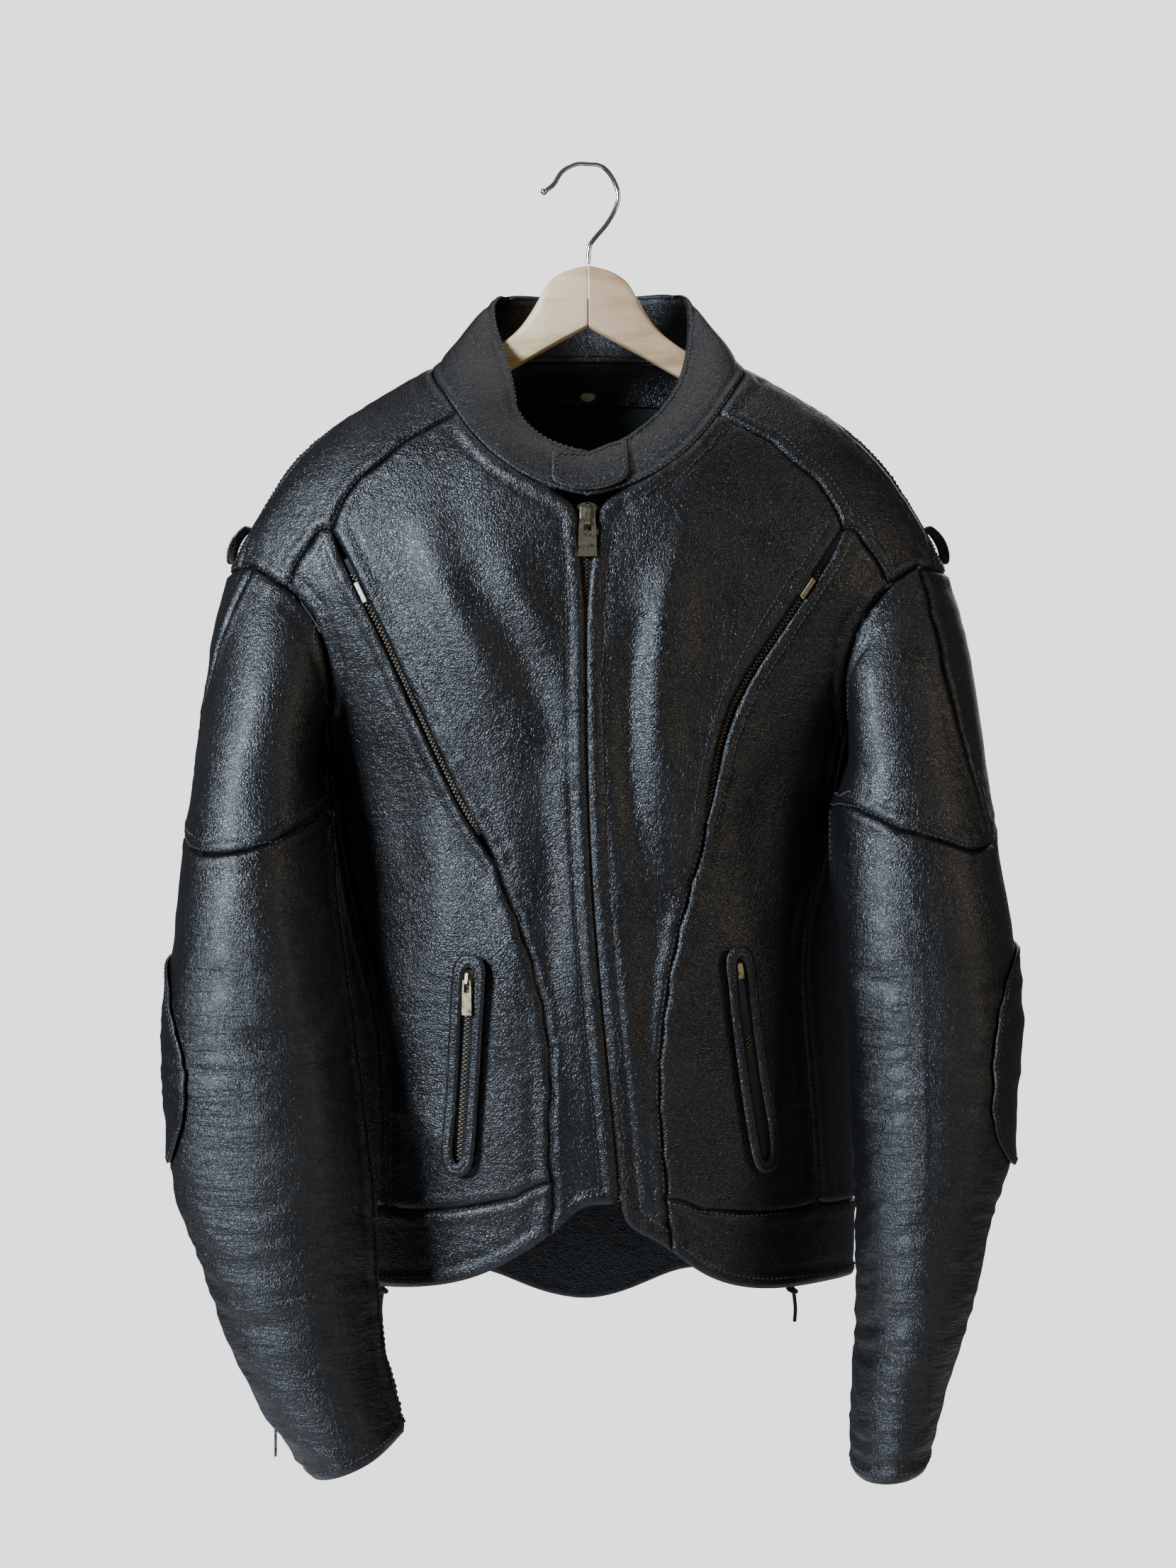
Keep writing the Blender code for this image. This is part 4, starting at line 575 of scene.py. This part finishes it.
def makeShell():
    nodesIn = list(shellSettings["bodyNodes"])
    axes = [bodyAxis] * len(nodesIn)
    for side in sides:
        own = [n + side for n in shellSettings["sleeveNodes"]]
        axes += [groupAxis(own)] * len(own)
        nodesIn += own
    sheets = [outerSheet(n, a) for n, a in zip(nodesIn, axes)]
    for n, s in zip(nodesIn, sheets):
        if not s[0]:
            print("no outer sheet found for", n)
    surface = joinSheets("leatherSurface", sheets, shellSettings["levels"])
    co, no, faces, panel = readSurface(surface)
    print("surface", len(co), "points")
    onSleeve = np.zeros(len(co))
    sleeveFaces = panel >= len(shellSettings["bodyNodes"])
    onSleeve[faces[sleeveFaces].ravel()] = 1
    runs = seamRuns(faces, panel)
    d, rims, arc = nearestEdges(co, runs)
    out = creaseHeights(co, no, onSleeve)
    out *= 1 - 0.85 * np.exp(-(d / 7) ** 2)
    pucker = np.array([noise.noise(Vector((a * 150, k * 0.37, 0))) for a, k in zip(arc, rims)])
    out += np.where(rims == 0, swells(d, edgeSwells["seam"]), swells(d, edgeSwells["rim"])) * mm
    out += pucker * np.exp(-((d - 9) / 7) ** 2) * waveLook["pucker"] * mm
    co = co + no * out[:, None]
    edge = np.exp(-(d / 3.0) ** 2)
    creased = 0.18 + 0.82 * onSleeve * ramp01(-co[:, 2] / mm, 510, 590)
    bpy.data.objects.remove(surface)
    return nodesIn, co, faces, panel, runs, edge, creased


def addLayer(obj, name, values):
    layer = obj.data.attributes.new(name, "FLOAT", "POINT")
    layer.data.foreach_set("value", values.astype(np.float32))


def makePanels(nodesIn, co, faces, panel, edge, creased):
    made = {}
    for k, name in enumerate(nodesIn):
        own = faces[panel == k]
        used, index = np.unique(own, return_inverse=True)
        index = index.reshape(own.shape)
        obj = meshPiece("panel_" + name, co[used], index, [leather, lining])
        addLayer(obj, "edge", edge[used])
        addLayer(obj, "creased", creased[used])
        wall = obj.modifiers.new("wall", "SOLIDIFY")
        wall.thickness = shellSettings["thickness"]
        wall.offset = -1
        wall.material_offset = 1
        applyAll(obj)
        obj.data.shade_smooth()
        keep(obj, stands=[name])
        made[name] = obj
    return made


nodesIn, co, faces, panel, runs, edge, creased = makeShell()
panels = makePanels(nodesIn, co, faces, panel, edge, creased)
surfaceTree = BVHTree.FromPolygons([tuple(p) for p in co], [tuple(f) for f in faces])
print("leather panels made:", len(panels))


# stitches

stitchLook = {"length": 3.2 * mm, "pitch": 4.2 * mm, "radius": 0.55 * mm, "lift": 0.15 * mm, "reach": 12 * mm}
stitchPlaces = []


def resample(points, pitch):
    points = np.array(points)
    steps = np.linalg.norm(np.diff(points, axis=0), axis=1)
    run = np.concatenate([[0], np.cumsum(steps)])
    if run[-1] < pitch * 2:
        return points[:0]
    at = np.arange(pitch / 2, run[-1], pitch)
    return np.stack([np.interp(at, run, points[:, i]) for i in range(3)], 1)


def smoothRun(points, times=3):
    points = np.array(points, float)
    for _ in range(times):
        points[1:-1] = points[1:-1] * 0.5 + (points[:-2] + points[2:]) * 0.25
    return points


def stitchAlong(points):  # a row of stitches on the leather along points
    path = resample(points, stitchLook["pitch"])
    for k in range(1, len(path) - 1):
        hit, normal, _, _ = surfaceTree.find_nearest(Vector(path[k]))
        if hit is None or (hit - Vector(path[k])).length > stitchLook["reach"]:
            continue
        along = Vector(path[k + 1] - path[k - 1]).normalized()
        stitchPlaces.append((hit + normal * stitchLook["lift"], along, normal))


def panelSide(pairRun, target, away):  # the run moved into one panel by a distance
    points = smoothRun(co[pairRun])
    out = []
    for k, p in enumerate(points):
        here = Vector(p)
        a, b = points[max(k - 2, 0)], points[min(k + 2, len(points) - 1)]
        along = Vector(b - a).normalized()
        _, normal, _, _ = surfaceTree.find_nearest(here)
        across = along.cross(normal).normalized()
        probe = [here + across * away * s for s in (1, -1)]
        scores = [panelTrees[target].find_nearest(q)[3] for q in probe]
        out.append(probe[0] if scores[0] < scores[1] else probe[1])
    return smoothRun(out, 2)


panelTrees = {}
for k, name in enumerate(nodesIn):
    panelTrees[name] = BVHTree.FromPolygons([tuple(p) for p in co], [tuple(f) for f in faces[panel == k]])


def seamBetween(a, b):
    i, j = nodesIn.index(a), nodesIn.index(b) if b else -1
    pair = (min(i, j), max(i, j)) if b else (i, -1)
    return runs.get(pair, [])


def rowsBeside(a, b, target, offsets):
    for chain in seamBetween(a, b):
        for away in offsets:
            stitchAlong(panelSide(chain, target, away * mm))


for side in sides:
    strip, centre, flank = "shoulder_strip_" + side, "front_center_" + side, "front_side_" + side
    rowsBeside(centre, strip, strip, (3.0, 11.0))
    rowsBeside(flank, strip, strip, (3.0, 11.0))
    rowsBeside(centre, flank, centre, (3.0,))
    rowsBeside(centre, None, centre, (12.5,))
    rowsBeside(flank, None, flank, (9.0,))
    rowsBeside(flank, "side_panel_" + side, "side_panel_" + side, (3.0,))
    rowsBeside(flank, "hem_band_" + side, "hem_band_" + side, (3.0,))
    rowsBeside("side_panel_" + side, "hem_band_" + side, "hem_band_" + side, (3.0,))
    rowsBeside("hem_band_" + side, None, "hem_band_" + side, (8.0,))
    rowsBeside("back", "side_panel_" + side, "back", (3.0,))
    rowsBeside("back", strip, "back", (3.0, 11.0))
    for half in ("front_", "back_"):
        upper, lower = "upper_sleeve_" + half + side, "lower_sleeve_" + half + side
        rowsBeside(upper, lower, upper, (3.0, 11.0))
        rowsBeside(lower, None, lower, (7.0,))
        for body in (centre, flank, strip, "back"):
            rowsBeside(body, upper, body, (3.0, 10.0) if body == strip else (3.0,))
rowsBeside("back", "hem_band_back", "hem_band_back", (3.0,))
rowsBeside("hem_band_back", None, "hem_band_back", (8.0,))


def sampleMesh(obj):  # the points and faces of a shape, which is then taken away
    mesh = obj.data
    verts = np.array([v.co[:] for v in mesh.vertices])
    polys = [list(p.vertices) for p in mesh.polygons]
    bpy.data.objects.remove(obj)
    return verts, polys


def makeStitches():
    clearSelection()
    bpy.ops.mesh.primitive_uv_sphere_add(segments=6, ring_count=4, radius=1)
    stitch = bpy.context.object
    stitch.scale = (stitchLook["length"] / 2, stitchLook["radius"] * 1.2, stitchLook["radius"])
    freeze(stitch)
    verts, polys = sampleMesh(stitch)
    groups = {"front": [], "back": [], "left_sleeve": [], "right_sleeve": []}
    for place in stitchPlaces:
        p = place[0]
        if p.x < -0.185 and p.z < -0.36:
            groups["left_sleeve"].append(place)
        elif p.x > 0.185 and p.z < -0.36:
            groups["right_sleeve"].append(place)
        else:
            groups["front" if p.y < 0.0 else "back"].append(place)
    for name, places in groups.items():
        if places:
            copyAlong("stitches_" + name, verts, polys, places, thread, "leather")


# one mesh from a small shape repeated at places of (point, along, out)
def copyAlong(name, verts, polys, places, finish, slotName, stands=()):
    points, turned = [], []
    for k, (p, along, out) in enumerate(places):
        along, out = Vector(along).normalized(), Vector(out).normalized()
        across = out.cross(along).normalized()
        out = along.cross(across)
        basis = np.array([along[:], across[:], out[:]])
        points.append(verts @ basis + np.array(p[:]))
        turned += [[i + k * len(verts) for i in f] for f in polys]
    obj = meshPiece(name, np.concatenate(points), turned, [finish])
    return keep(obj, stands=stands)


# collar, tab, facings, patches and welts

overlayLook = {  # wall, how far the rim rolls over, how much it follows the folds, stitch rows from the rim
    "collar": {"wall": 3.0, "roll": 1.0, "follow": 0.0, "rows": (6.5,), "flat": (0.065, 0.44)},
    "collar_tab": {"wall": 2.4, "roll": 0.6, "follow": 0.0, "rows": (4.0,), "flat": (0.036, 0.052)},
    "neck_facing": {"wall": 1.2, "roll": 0.3, "follow": 0.0, "rows": (), "flat": (0.03, 0.2)},
    "lining_back": {"wall": 0.9, "roll": 0.0, "follow": 0.0, "rows": (), "flat": (0.16, 0.2)},
    "back_hem_facing": {"wall": 1.1, "roll": 0.2, "follow": 1.0, "rows": (), "flat": (0.08, 0.25)},
    "elbow_patch_left": {"wall": 1.8, "roll": 0.8, "follow": 1.0, "rows": (3.5,), "flat": (0.08, 0.13)},
    "elbow_patch_right": {"wall": 1.8, "roll": 0.8, "follow": 1.0, "rows": (3.5,), "flat": (0.08, 0.13)},
    "pocket_welt_left": {"wall": 1.8, "roll": 0.9, "follow": 1.0, "rows": (), "flat": (0.023, 0.165)},
    "pocket_welt_right": {"wall": 1.8, "roll": 0.9, "follow": 1.0, "rows": (), "flat": (0.021, 0.165)},
    "shoulder_loop_left": {"wall": 1.8, "roll": 0.4, "follow": 0.0, "rows": (), "flat": (0.018, 0.04)},
    "shoulder_loop_right": {"wall": 1.8, "roll": 0.4, "follow": 0.0, "rows": (), "flat": (0.018, 0.04)},
}


overlayShift = {"loopIn": 2.4, "collarWaves": 3.2, "liningFolds": 3.0}  # in mm


def insideAxis(p):  # facings show their inner face
    return Vector((p.x, p.y + (1.0 if p.y > 0 else -1.0), p.z))


def loopAxis(side):  # the middle of a shoulder loop's roll
    middle = Vector((0.24 * sides[side], 0.0, -0.278))

    def centre(p):
        return middle
    return centre


def makeOverlay(name, look):
    inside = "facing" in name or "lining" in name
    side = "left" if name.endswith("left") else "right"
    axis = bodyAxis
    if inside:
        axis = insideAxis
    elif name.startswith("elbow"):
        axis = groupAxis(["lower_sleeve_front_" + side, "lower_sleeve_back_" + side])
    elif name.startswith("shoulder_loop"):
        axis = loopAxis(side)
    verts, polys = outerSheet(name, axis)
    surface = joinSheets("sheet_" + name, [(verts, polys)], 4 if len(polys) < 60 else 3)
    co, no, faces, panel = readSurface(surface)
    bpy.data.objects.remove(surface)
    border = seamRuns(faces, panel).get((0, -1), [])
    tree = KDTree(sum(len(c) for c in border))
    index = 0
    for chain in border:
        for p in chain:
            tree.insert(co[p], index)
            index += 1
    tree.balance()
    d = np.array([tree.find(p)[2] for p in co]) / mm
    onSleeve = np.full(len(co), 1.0 if name.startswith("elbow") else 0.0)
    facing = -1 if inside else 1
    out = creaseHeights(co, no * facing, onSleeve) * look["follow"] * facing
    out += look["roll"] * mm * (np.exp(-((d - 3.0) / 2.5) ** 2) - 1.0 * np.exp(-(d / 1.5) ** 2))
    if look["rows"]:
        out -= 0.7 * mm * np.exp(-((d - look["rows"][0]) / 1.6) ** 2)
    if "loop" in name:
        out -= overlayShift["loopIn"] * mm
    if name == "collar":
        rough = [noise.noise(Vector((x * 14, y * 14, z * 22))) for x, y, z in co]
        out += np.array(rough) * overlayShift["collarWaves"] * mm * np.clip(d / 20, 0, 1)
    if name == "lining_back":
        folds = [noise.noise(Vector((x * 40, 0.3, z * 7))) for x, y, z in co]
        out += np.abs(folds) * overlayShift["liningFolds"] * mm * np.clip(d / 12, 0, 1)
    co = co + no * out[:, None]
    finish = lining if name == "lining_back" else trimLeather if name.startswith("collar") else leather
    obj = meshPiece("sewn_" + name, co, faces, [finish, lining if name == "collar" else finish])
    addLayer(obj, "edge", np.exp(-(d / 2.5) ** 2))
    wall = obj.modifiers.new("wall", "SOLIDIFY")
    wall.thickness = look["wall"] * mm
    wall.offset = -1
    wall.material_offset = 0
    applyAll(obj)
    obj.data.shade_smooth()
    keep(obj, stands=[name])
    own = BVHTree.FromPolygons([tuple(p) for p in co], [tuple(f) for f in faces])
    if name == "collar":
        collarRim.extend(co[p] for chain in border for p in chain)
    for chain in border:
        for away in look["rows"]:
            path = resample(smoothRun(co[chain]), stitchLook["pitch"])
            for k in range(1, len(path) - 1):
                along = Vector(path[k + 1] - path[k - 1]).normalized()
                _, normal, _, _ = own.find_nearest(Vector(path[k]))
                across = along.cross(normal).normalized() * away * mm
                spots = [own.find_nearest(Vector(path[k]) + across * s) for s in (1, -1)]
                hit, normal, _, far = min(spots, key=lambda spot: spot[3])
                if far < 0.004:
                    stitchPlaces.append((hit + normal * stitchLook["lift"], along, normal))
    return obj


collarRim = []
for name, look in overlayLook.items():
    makeOverlay(name, look)
print("collar, facings, patches and welts made")
makeStitches()
print("stitches:", len(stitchPlaces))


# zip tapes and teeth

zipLook = {  # width of the tape, and how far in from its ends the teeth start and stop
    "main_zip": (22, 2, 2), "chest_zip_left": (15, 14, 8), "chest_zip_right": (15, 14, 8),
    "pocket_zip_left": (12.2, 8, 8), "pocket_zip_right": (12.2, 8, 8), "cuff_zip_left": (14, 2, 3),
    "cuff_zip_right": (14, 2, 3),
    "pitch": 1.5 * mm, "tooth": (1.0 * mm, 2.6 * mm, 1.1 * mm), "step": 0.9 * mm,
}


def tapeRungs(name, width):  # middle, direction across and direction out at each row, from the top down
    verts, polys = outerSheet(name, zipAxis(name))
    rungs = {}
    for f in polys:
        a, b, c = (np.array(verts[i]) for i in f[:3])
        out = np.cross(b - a, c - a)
        for p, q in ((a, b), (b, c), (c, a)):
            length = np.linalg.norm(q - p)
            if abs(length - width * mm) < 0.9 * mm and abs(q[2] - p[2]) < 0.72 * length:
                p, q = (p, q) if p[0] < q[0] else (q, p)
                middle = (p + q) / 2
                rungs[tuple(middle.round(5))] = (middle, (q - p) / length, out / np.linalg.norm(out))
    return [rungs[k] for k in sorted(rungs, key=lambda k: -k[2])]


def zipAxis(name):
    if name.startswith("cuff"):
        side = name.split("_")[-1]
        return groupAxis(["lower_sleeve_front_" + side, "lower_sleeve_back_" + side])
    return bodyAxis


def makeTooth():
    clearSelection()
    bpy.ops.mesh.primitive_cube_add(size=1)
    tooth = bpy.context.object
    tooth.scale = zipLook["tooth"]
    freeze(tooth)
    bevel = tooth.modifiers.new("edges", "BEVEL")
    bevel.width = 0.25 * mm
    bevel.segments = 1
    applyAll(tooth)
    return sampleMesh(tooth)


toothShape = makeTooth()


def makeZip(name):
    width, start, stop = zipLook[name]
    rungs = tapeRungs(name, width)
    verts, polys = outerSheet(name, zipAxis(name))
    surface = joinSheets("tape_" + name, [(verts, polys)], 2)
    surface.data.materials.clear()
    surface.data.materials.append(tapeWeave)
    wall = surface.modifiers.new("wall", "SOLIDIFY")
    wall.thickness = 0.6 * mm
    wall.offset = -1
    applyAll(surface)
    surface.data.shade_smooth()
    keep(surface, stands=[name])
    run = [r[0] for r in rungs]
    steps = np.concatenate([[0], np.cumsum([np.linalg.norm(b - a) for a, b in zip(run, run[1:])])])
    at = np.arange(start * mm, steps[-1] - stop * mm, zipLook["pitch"])
    spread = [np.stack([np.interp(at, steps, np.array([r[k][i] for r in rungs])) for i in range(3)], 1)
              for k in range(3)]
    places = []
    for k, (p, across, out) in enumerate(zip(*spread)):
        across, out = Vector(across).normalized(), Vector(out).normalized()
        side = 1 if k % 2 else -1
        along = across.cross(out)
        places.append((Vector(p) + across * side * zipLook["step"] + out * 0.55 * mm, along, out))
    copyAlong("teeth_" + name, *toothShape, places, darkMetal, "brass")


for name in zipLook:
    if "zip" in name:
        makeZip(name)
print("zips made")


# laces, knots and eyelets

laceLook = {  # points of the left lace in mm, from the knot up, down again and out to its free end
    "route": [(-151.6, 72.5, -827), (-148.2, 74.2, -800), (-164.7, 74.6, -779), (-172.4, 68.0, -758),
              (-165.5, 74.4, -737), (-149.7, 73.4, -716), (-167.0, 73.9, -695), (-176.1, 67.1, -674),
              (-169.8, 73.0, -653), (-154.5, 72.1, -632), (-172.2, 72.3, -611), (-181.9, 65.2, -590),
              (-157.8, 71.3, -590), (-167.6, 69.0, -611), (-178.7, 66.3, -632), (-165.2, 69.7, -653),
              (-151.9, 72.7, -674), (-162.4, 70.5, -695), (-173.9, 67.7, -716), (-160.9, 70.9, -737),
              (-148.2, 74.0, -758), (-160.2, 71.2, -779), (-172.4, 67.7, -800), (-158.4, 75.5, -826.5),
              (-155.0, 73.5, -834), (-156.0, 74.0, -839.6), (-157.0, 74.5, -850), (-156.4, 74.1, -860)],
    "knot": (-155.0, 73.5, -834.0), "knotSize": (3.0, 2.6, 3.0), "knotStrand": 1.7, "diameter": 3.0,
    "eyelets": list(range(1, 23, 2)), "eyeletSize": (3.0, 0.8),
}


def roundPath(points, steps=4):  # a smooth run through points
    p = np.array(points, float)
    p = np.concatenate([[2 * p[0] - p[1]], p, [2 * p[-1] - p[-2]]])
    out = []
    for a, b, c, d in zip(p, p[1:], p[2:], p[3:]):
        for t in np.arange(steps) / steps:
            bend = (2 * a - 5 * b + 4 * c - d) * t ** 2 + (3 * b - a - 3 * c + d) * t ** 3
            out.append(0.5 * (2 * b + (c - a) * t + bend))
    return np.array(out + [p[-2]])


def tubeAlong(name, points, radius, finish, resolution=3):
    curve = bpy.data.curves.new(name, "CURVE")
    curve.dimensions = "3D"
    curve.bevel_depth = radius
    curve.bevel_resolution = resolution
    curve.use_fill_caps = True
    spline = curve.splines.new("POLY")
    spline.points.add(len(points) - 1)
    for target, p in zip(spline.points, points):
        target.co = (*p, 1)
    curve.materials.append(finish)
    obj = bpy.data.objects.new(name, curve)
    bpy.context.scene.collection.objects.link(obj)
    return obj


def sideTurn(side):  # from the left lace's mm to metres on either side
    return np.array([-sides[side], 1, 1]) * mm


def makeLace(side):
    turn = sideTurn(side)
    path = roundPath([np.array(p) * turn for p in laceLook["route"]])
    lace = keep(tubeAlong("cord_" + side, path, laceLook["diameter"] / 2 * mm, laceFinish),
                stands=["lace_" + side, "lace_tail_" + side])
    knotAt = np.array(laceLook["knot"]) * turn
    turns = np.linspace(0, 4 * math.pi, 60)
    x, y, z = laceLook["knotSize"]
    loops = [knotAt + np.array([x * math.sin(t) * (1 + 0.25 * math.cos(t / 2)), y * math.cos(t),
                                z * math.sin(t / 2 + 0.6)]) * mm for t in turns]
    knot = keep(tubeAlong("knot_" + side, loops, laceLook["knotStrand"] * mm, laceFinish),
                stands=["lace_knot_" + side])
    pick(knot)
    bpy.ops.object.convert(target="MESH")


def makeEyelets():
    clearSelection()
    major, minor = laceLook["eyeletSize"]
    bpy.ops.mesh.primitive_torus_add(major_radius=major * mm, minor_radius=minor * mm, major_segments=16,
                                     minor_segments=6)
    ring = sampleMesh(bpy.context.object)
    places = []
    for side in sides:
        turn = sideTurn(side)
        for k in laceLook["eyelets"]:
            hit, normal, _, _ = surfaceTree.find_nearest(Vector(np.array(laceLook["route"][k]) * turn))
            along = Vector((0, 0, 1)).cross(normal).normalized()
            places.append((hit + normal * 0.3 * mm, along, normal))
    copyAlong("eyelets", *ring, places, antique, "brass")


for side in sides:
    makeLace(side)
makeEyelets()


# hanger: hook, its tip and the two wooden arms

hangerLook = {  # the wire's line in mm, from the wood up and round to its tip
    "wire": [(0, -71.5), (1, -60), (4, -54), (14, -42), (21, -29), (22, -19), (17, -7), (9, 0.6), (0, 1.7),
             (-9, 1.6), (-19, -4), (-25, -13), (-31, -18)], "radius": 1.7, "tip": (-32.2, -18.5, 2.6),
}


def makeHook():
    path = roundPath([(x * mm, 0, z * mm) for x, z in hangerLook["wire"]], 6)
    wire = tubeAlong("hookWire", path, hangerLook["radius"] * mm, steel, 6)
    pick(wire)
    bpy.ops.object.convert(target="MESH")
    wire = bpy.context.object
    wire.data.shade_smooth()
    keep(wire, stands=["hanger_hook"])
    x, z, radius = hangerLook["tip"]
    clearSelection()
    bpy.ops.mesh.primitive_uv_sphere_add(segments=20, ring_count=12, radius=radius * mm,
                                         location=(x * mm, 0, z * mm))
    tip = bpy.context.object
    tip.name = "hookTip"
    freeze(tip)
    tip.data.shade_smooth()
    tip.data.materials.append(steel)
    keep(tip)


def makeArm(side, finish):
    bm = bmesh.new()
    bm.from_mesh(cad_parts["hanger_arm_" + side].data)
    bmesh.ops.remove_doubles(bm, verts=bm.verts[:], dist=samePoint)
    bmesh.ops.join_triangles(bm, faces=bm.faces[:], angle_face_threshold=math.radians(25),
                             angle_shape_threshold=math.radians(60))
    mesh = bpy.data.meshes.new("arm_" + side)
    bm.to_mesh(mesh)
    bm.free()
    mesh.materials.clear()
    mesh.materials.append(finish)
    arm = bpy.data.objects.new("arm_" + side, mesh)
    bpy.context.scene.collection.objects.link(arm)
    edges = arm.modifiers.new("edges", "BEVEL")
    edges.width = 1.0 * mm
    edges.segments = 2
    edges.limit_method = "ANGLE"
    edges.angle_limit = math.radians(50)
    smooth = arm.modifiers.new("smooth", "SUBSURF")
    smooth.levels = smooth.render_levels = 2
    applyAll(arm)
    arm.data.shade_smooth()
    keep(arm, stands=["hanger_arm_" + side])


makeHook()
# the left arm gets the wood painted lighter as if lit, the right arm the wood painted darker as painted shade
makeArm("left", yellowerLitWood)
makeArm("right", pinkerShadedWood)
print("hanger made")


pipingLook = {"radius": 1.5 * mm, "reach": 4.5 * mm, "gap": 12 * mm, "fewest": 8}


def nearLeather(p):
    return (surfaceTree.find_nearest(Vector(p))[0] - Vector(p)).length < pipingLook["reach"]


def makeNeckCord():  # piping where the collar is sewn on
    edge = [p for p in collarRim if nearLeather(p)]
    groups, current = [], [edge[0]]
    for p in edge[1:]:
        if np.linalg.norm(np.array(p) - np.array(current[-1])) > pipingLook["gap"]:
            groups.append(current)
            current = []
        current.append(p)
    groups.append(current)
    for k, group in enumerate(g for g in groups if len(g) > pipingLook["fewest"]):
        cord = tubeAlong("neckPiping_" + str(k), smoothRun(group, 4), pipingLook["radius"], trimLeather, 3)
        pick(cord)
        bpy.ops.object.convert(target="MESH")
        keep(bpy.context.object)


makeNeckCord()


# finishes of the nodes that are kept as they are

keptFinishes = {
    "main_slider": antique, "main_pull": antique, "neck_snap": antique,
    "chest_slider_left": silvery, "chest_slider_right": antique,
    "pocket_slider_left": antique, "pocket_slider_right": antique, "pocket_pull_left": antique,
    "cuff_slider_left": antique, "cuff_slider_right": antique, "cuff_pull_left": antique,
}
for name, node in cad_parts.items():
    if not node.hide_render:
        node.data.materials.clear()
        node.data.materials.append(keptFinishes.get(name, trimLeather))


# floor, light and camera

stageLook = {
    "floorZ": -1.55, "floorSize": 3.0, "wall": (0.86, 0.86, 0.87), "wallStrength": 2.4,
    "fill": (0.80, 0.84, 0.92), "fillStrength": 0.10, "cameraY": -2.3, "cameraZ": -0.453, "lens": 72,
}


def makeStage():
    clearSelection()
    bpy.ops.mesh.primitive_plane_add(size=stageLook["floorSize"], location=(0, 0, stageLook["floorZ"]))
    floor = bpy.context.object
    floor.name = "floor"
    freeze(floor)
    mat, nodes, links, shader, place = startFinish("paleFloor")
    tint = addRamp(nodes, links, addNoise(nodes, links, place, 3), [(0.3, grey(0.72)), (0.8, grey(0.78))])
    links.new(tint, shader.inputs["Base Color"])
    shader.inputs["Roughness"].default_value = 0.8
    floor.data.materials.append(mat)
    world = bpy.data.worlds.new("paleRoom")
    bpy.context.scene.world = world
    world.use_nodes = True
    nodes, links = world.node_tree.nodes, world.node_tree.links
    seen = nodes["Background"]
    seen.inputs["Color"].default_value = (*stageLook["wall"], 1)
    seen.inputs["Strength"].default_value = stageLook["wallStrength"]
    fill = nodes.new("ShaderNodeBackground")
    fill.inputs["Color"].default_value = (*stageLook["fill"], 1)
    fill.inputs["Strength"].default_value = stageLook["fillStrength"]
    mix = nodes.new("ShaderNodeMixShader")
    path = nodes.new("ShaderNodeLightPath")
    links.new(path.outputs["Is Camera Ray"], mix.inputs["Fac"])
    links.new(fill.outputs[0], mix.inputs[1])
    links.new(seen.outputs[0], mix.inputs[2])
    links.new(mix.outputs[0], nodes["World Output"].inputs["Surface"])


def addLight(name, place, target, size, power, colour):
    lamp = bpy.data.lights.new(name, "AREA")
    lamp.shape = "RECTANGLE"
    lamp.size, lamp.size_y = size
    lamp.energy = power
    lamp.color = colour
    obj = bpy.data.objects.new(name, lamp)
    bpy.context.scene.collection.objects.link(obj)
    obj.location = place
    obj.rotation_euler = (Vector(target) - Vector(place)).to_track_quat("-Z", "Y").to_euler()


def makeCamera():
    data = bpy.data.cameras.new("camera")
    data.lens = stageLook["lens"]
    data.sensor_fit = "VERTICAL"
    data.sensor_height = 36
    camera = bpy.data.objects.new("camera", data)
    camera.location = (0, stageLook["cameraY"], stageLook["cameraZ"])
    camera.rotation_euler = (math.radians(90), 0, 0)
    bpy.context.scene.collection.objects.link(camera)
    bpy.context.scene.camera = camera


lampLook = {  # place, what it shines at, size, watts and colour
    "windowLeft": ((-1.9, -1.5, 0.35), (0, 0, -0.45), (0.7, 0.9), 150, (0.72, 0.85, 1.0)),
    "roomRight": ((1.9, -1.2, 0.1), (0, 0, -0.5), (0.6, 1.2), 12, (1.0, 0.86, 0.70)),
    "overhead": ((0, 0.3, 1.3), (0, 0, -0.4), (1.2, 0.8), 7, (0.95, 0.97, 1.0)),
    "behind": ((0.4, 2.0, 0.3), (0, 0, -0.45), (1.6, 1.4), 14, (1.0, 0.97, 0.93)),
}
makeStage()
for name, look in lampLook.items():
    addLight(name, *look)
makeCamera()
print("stage made")
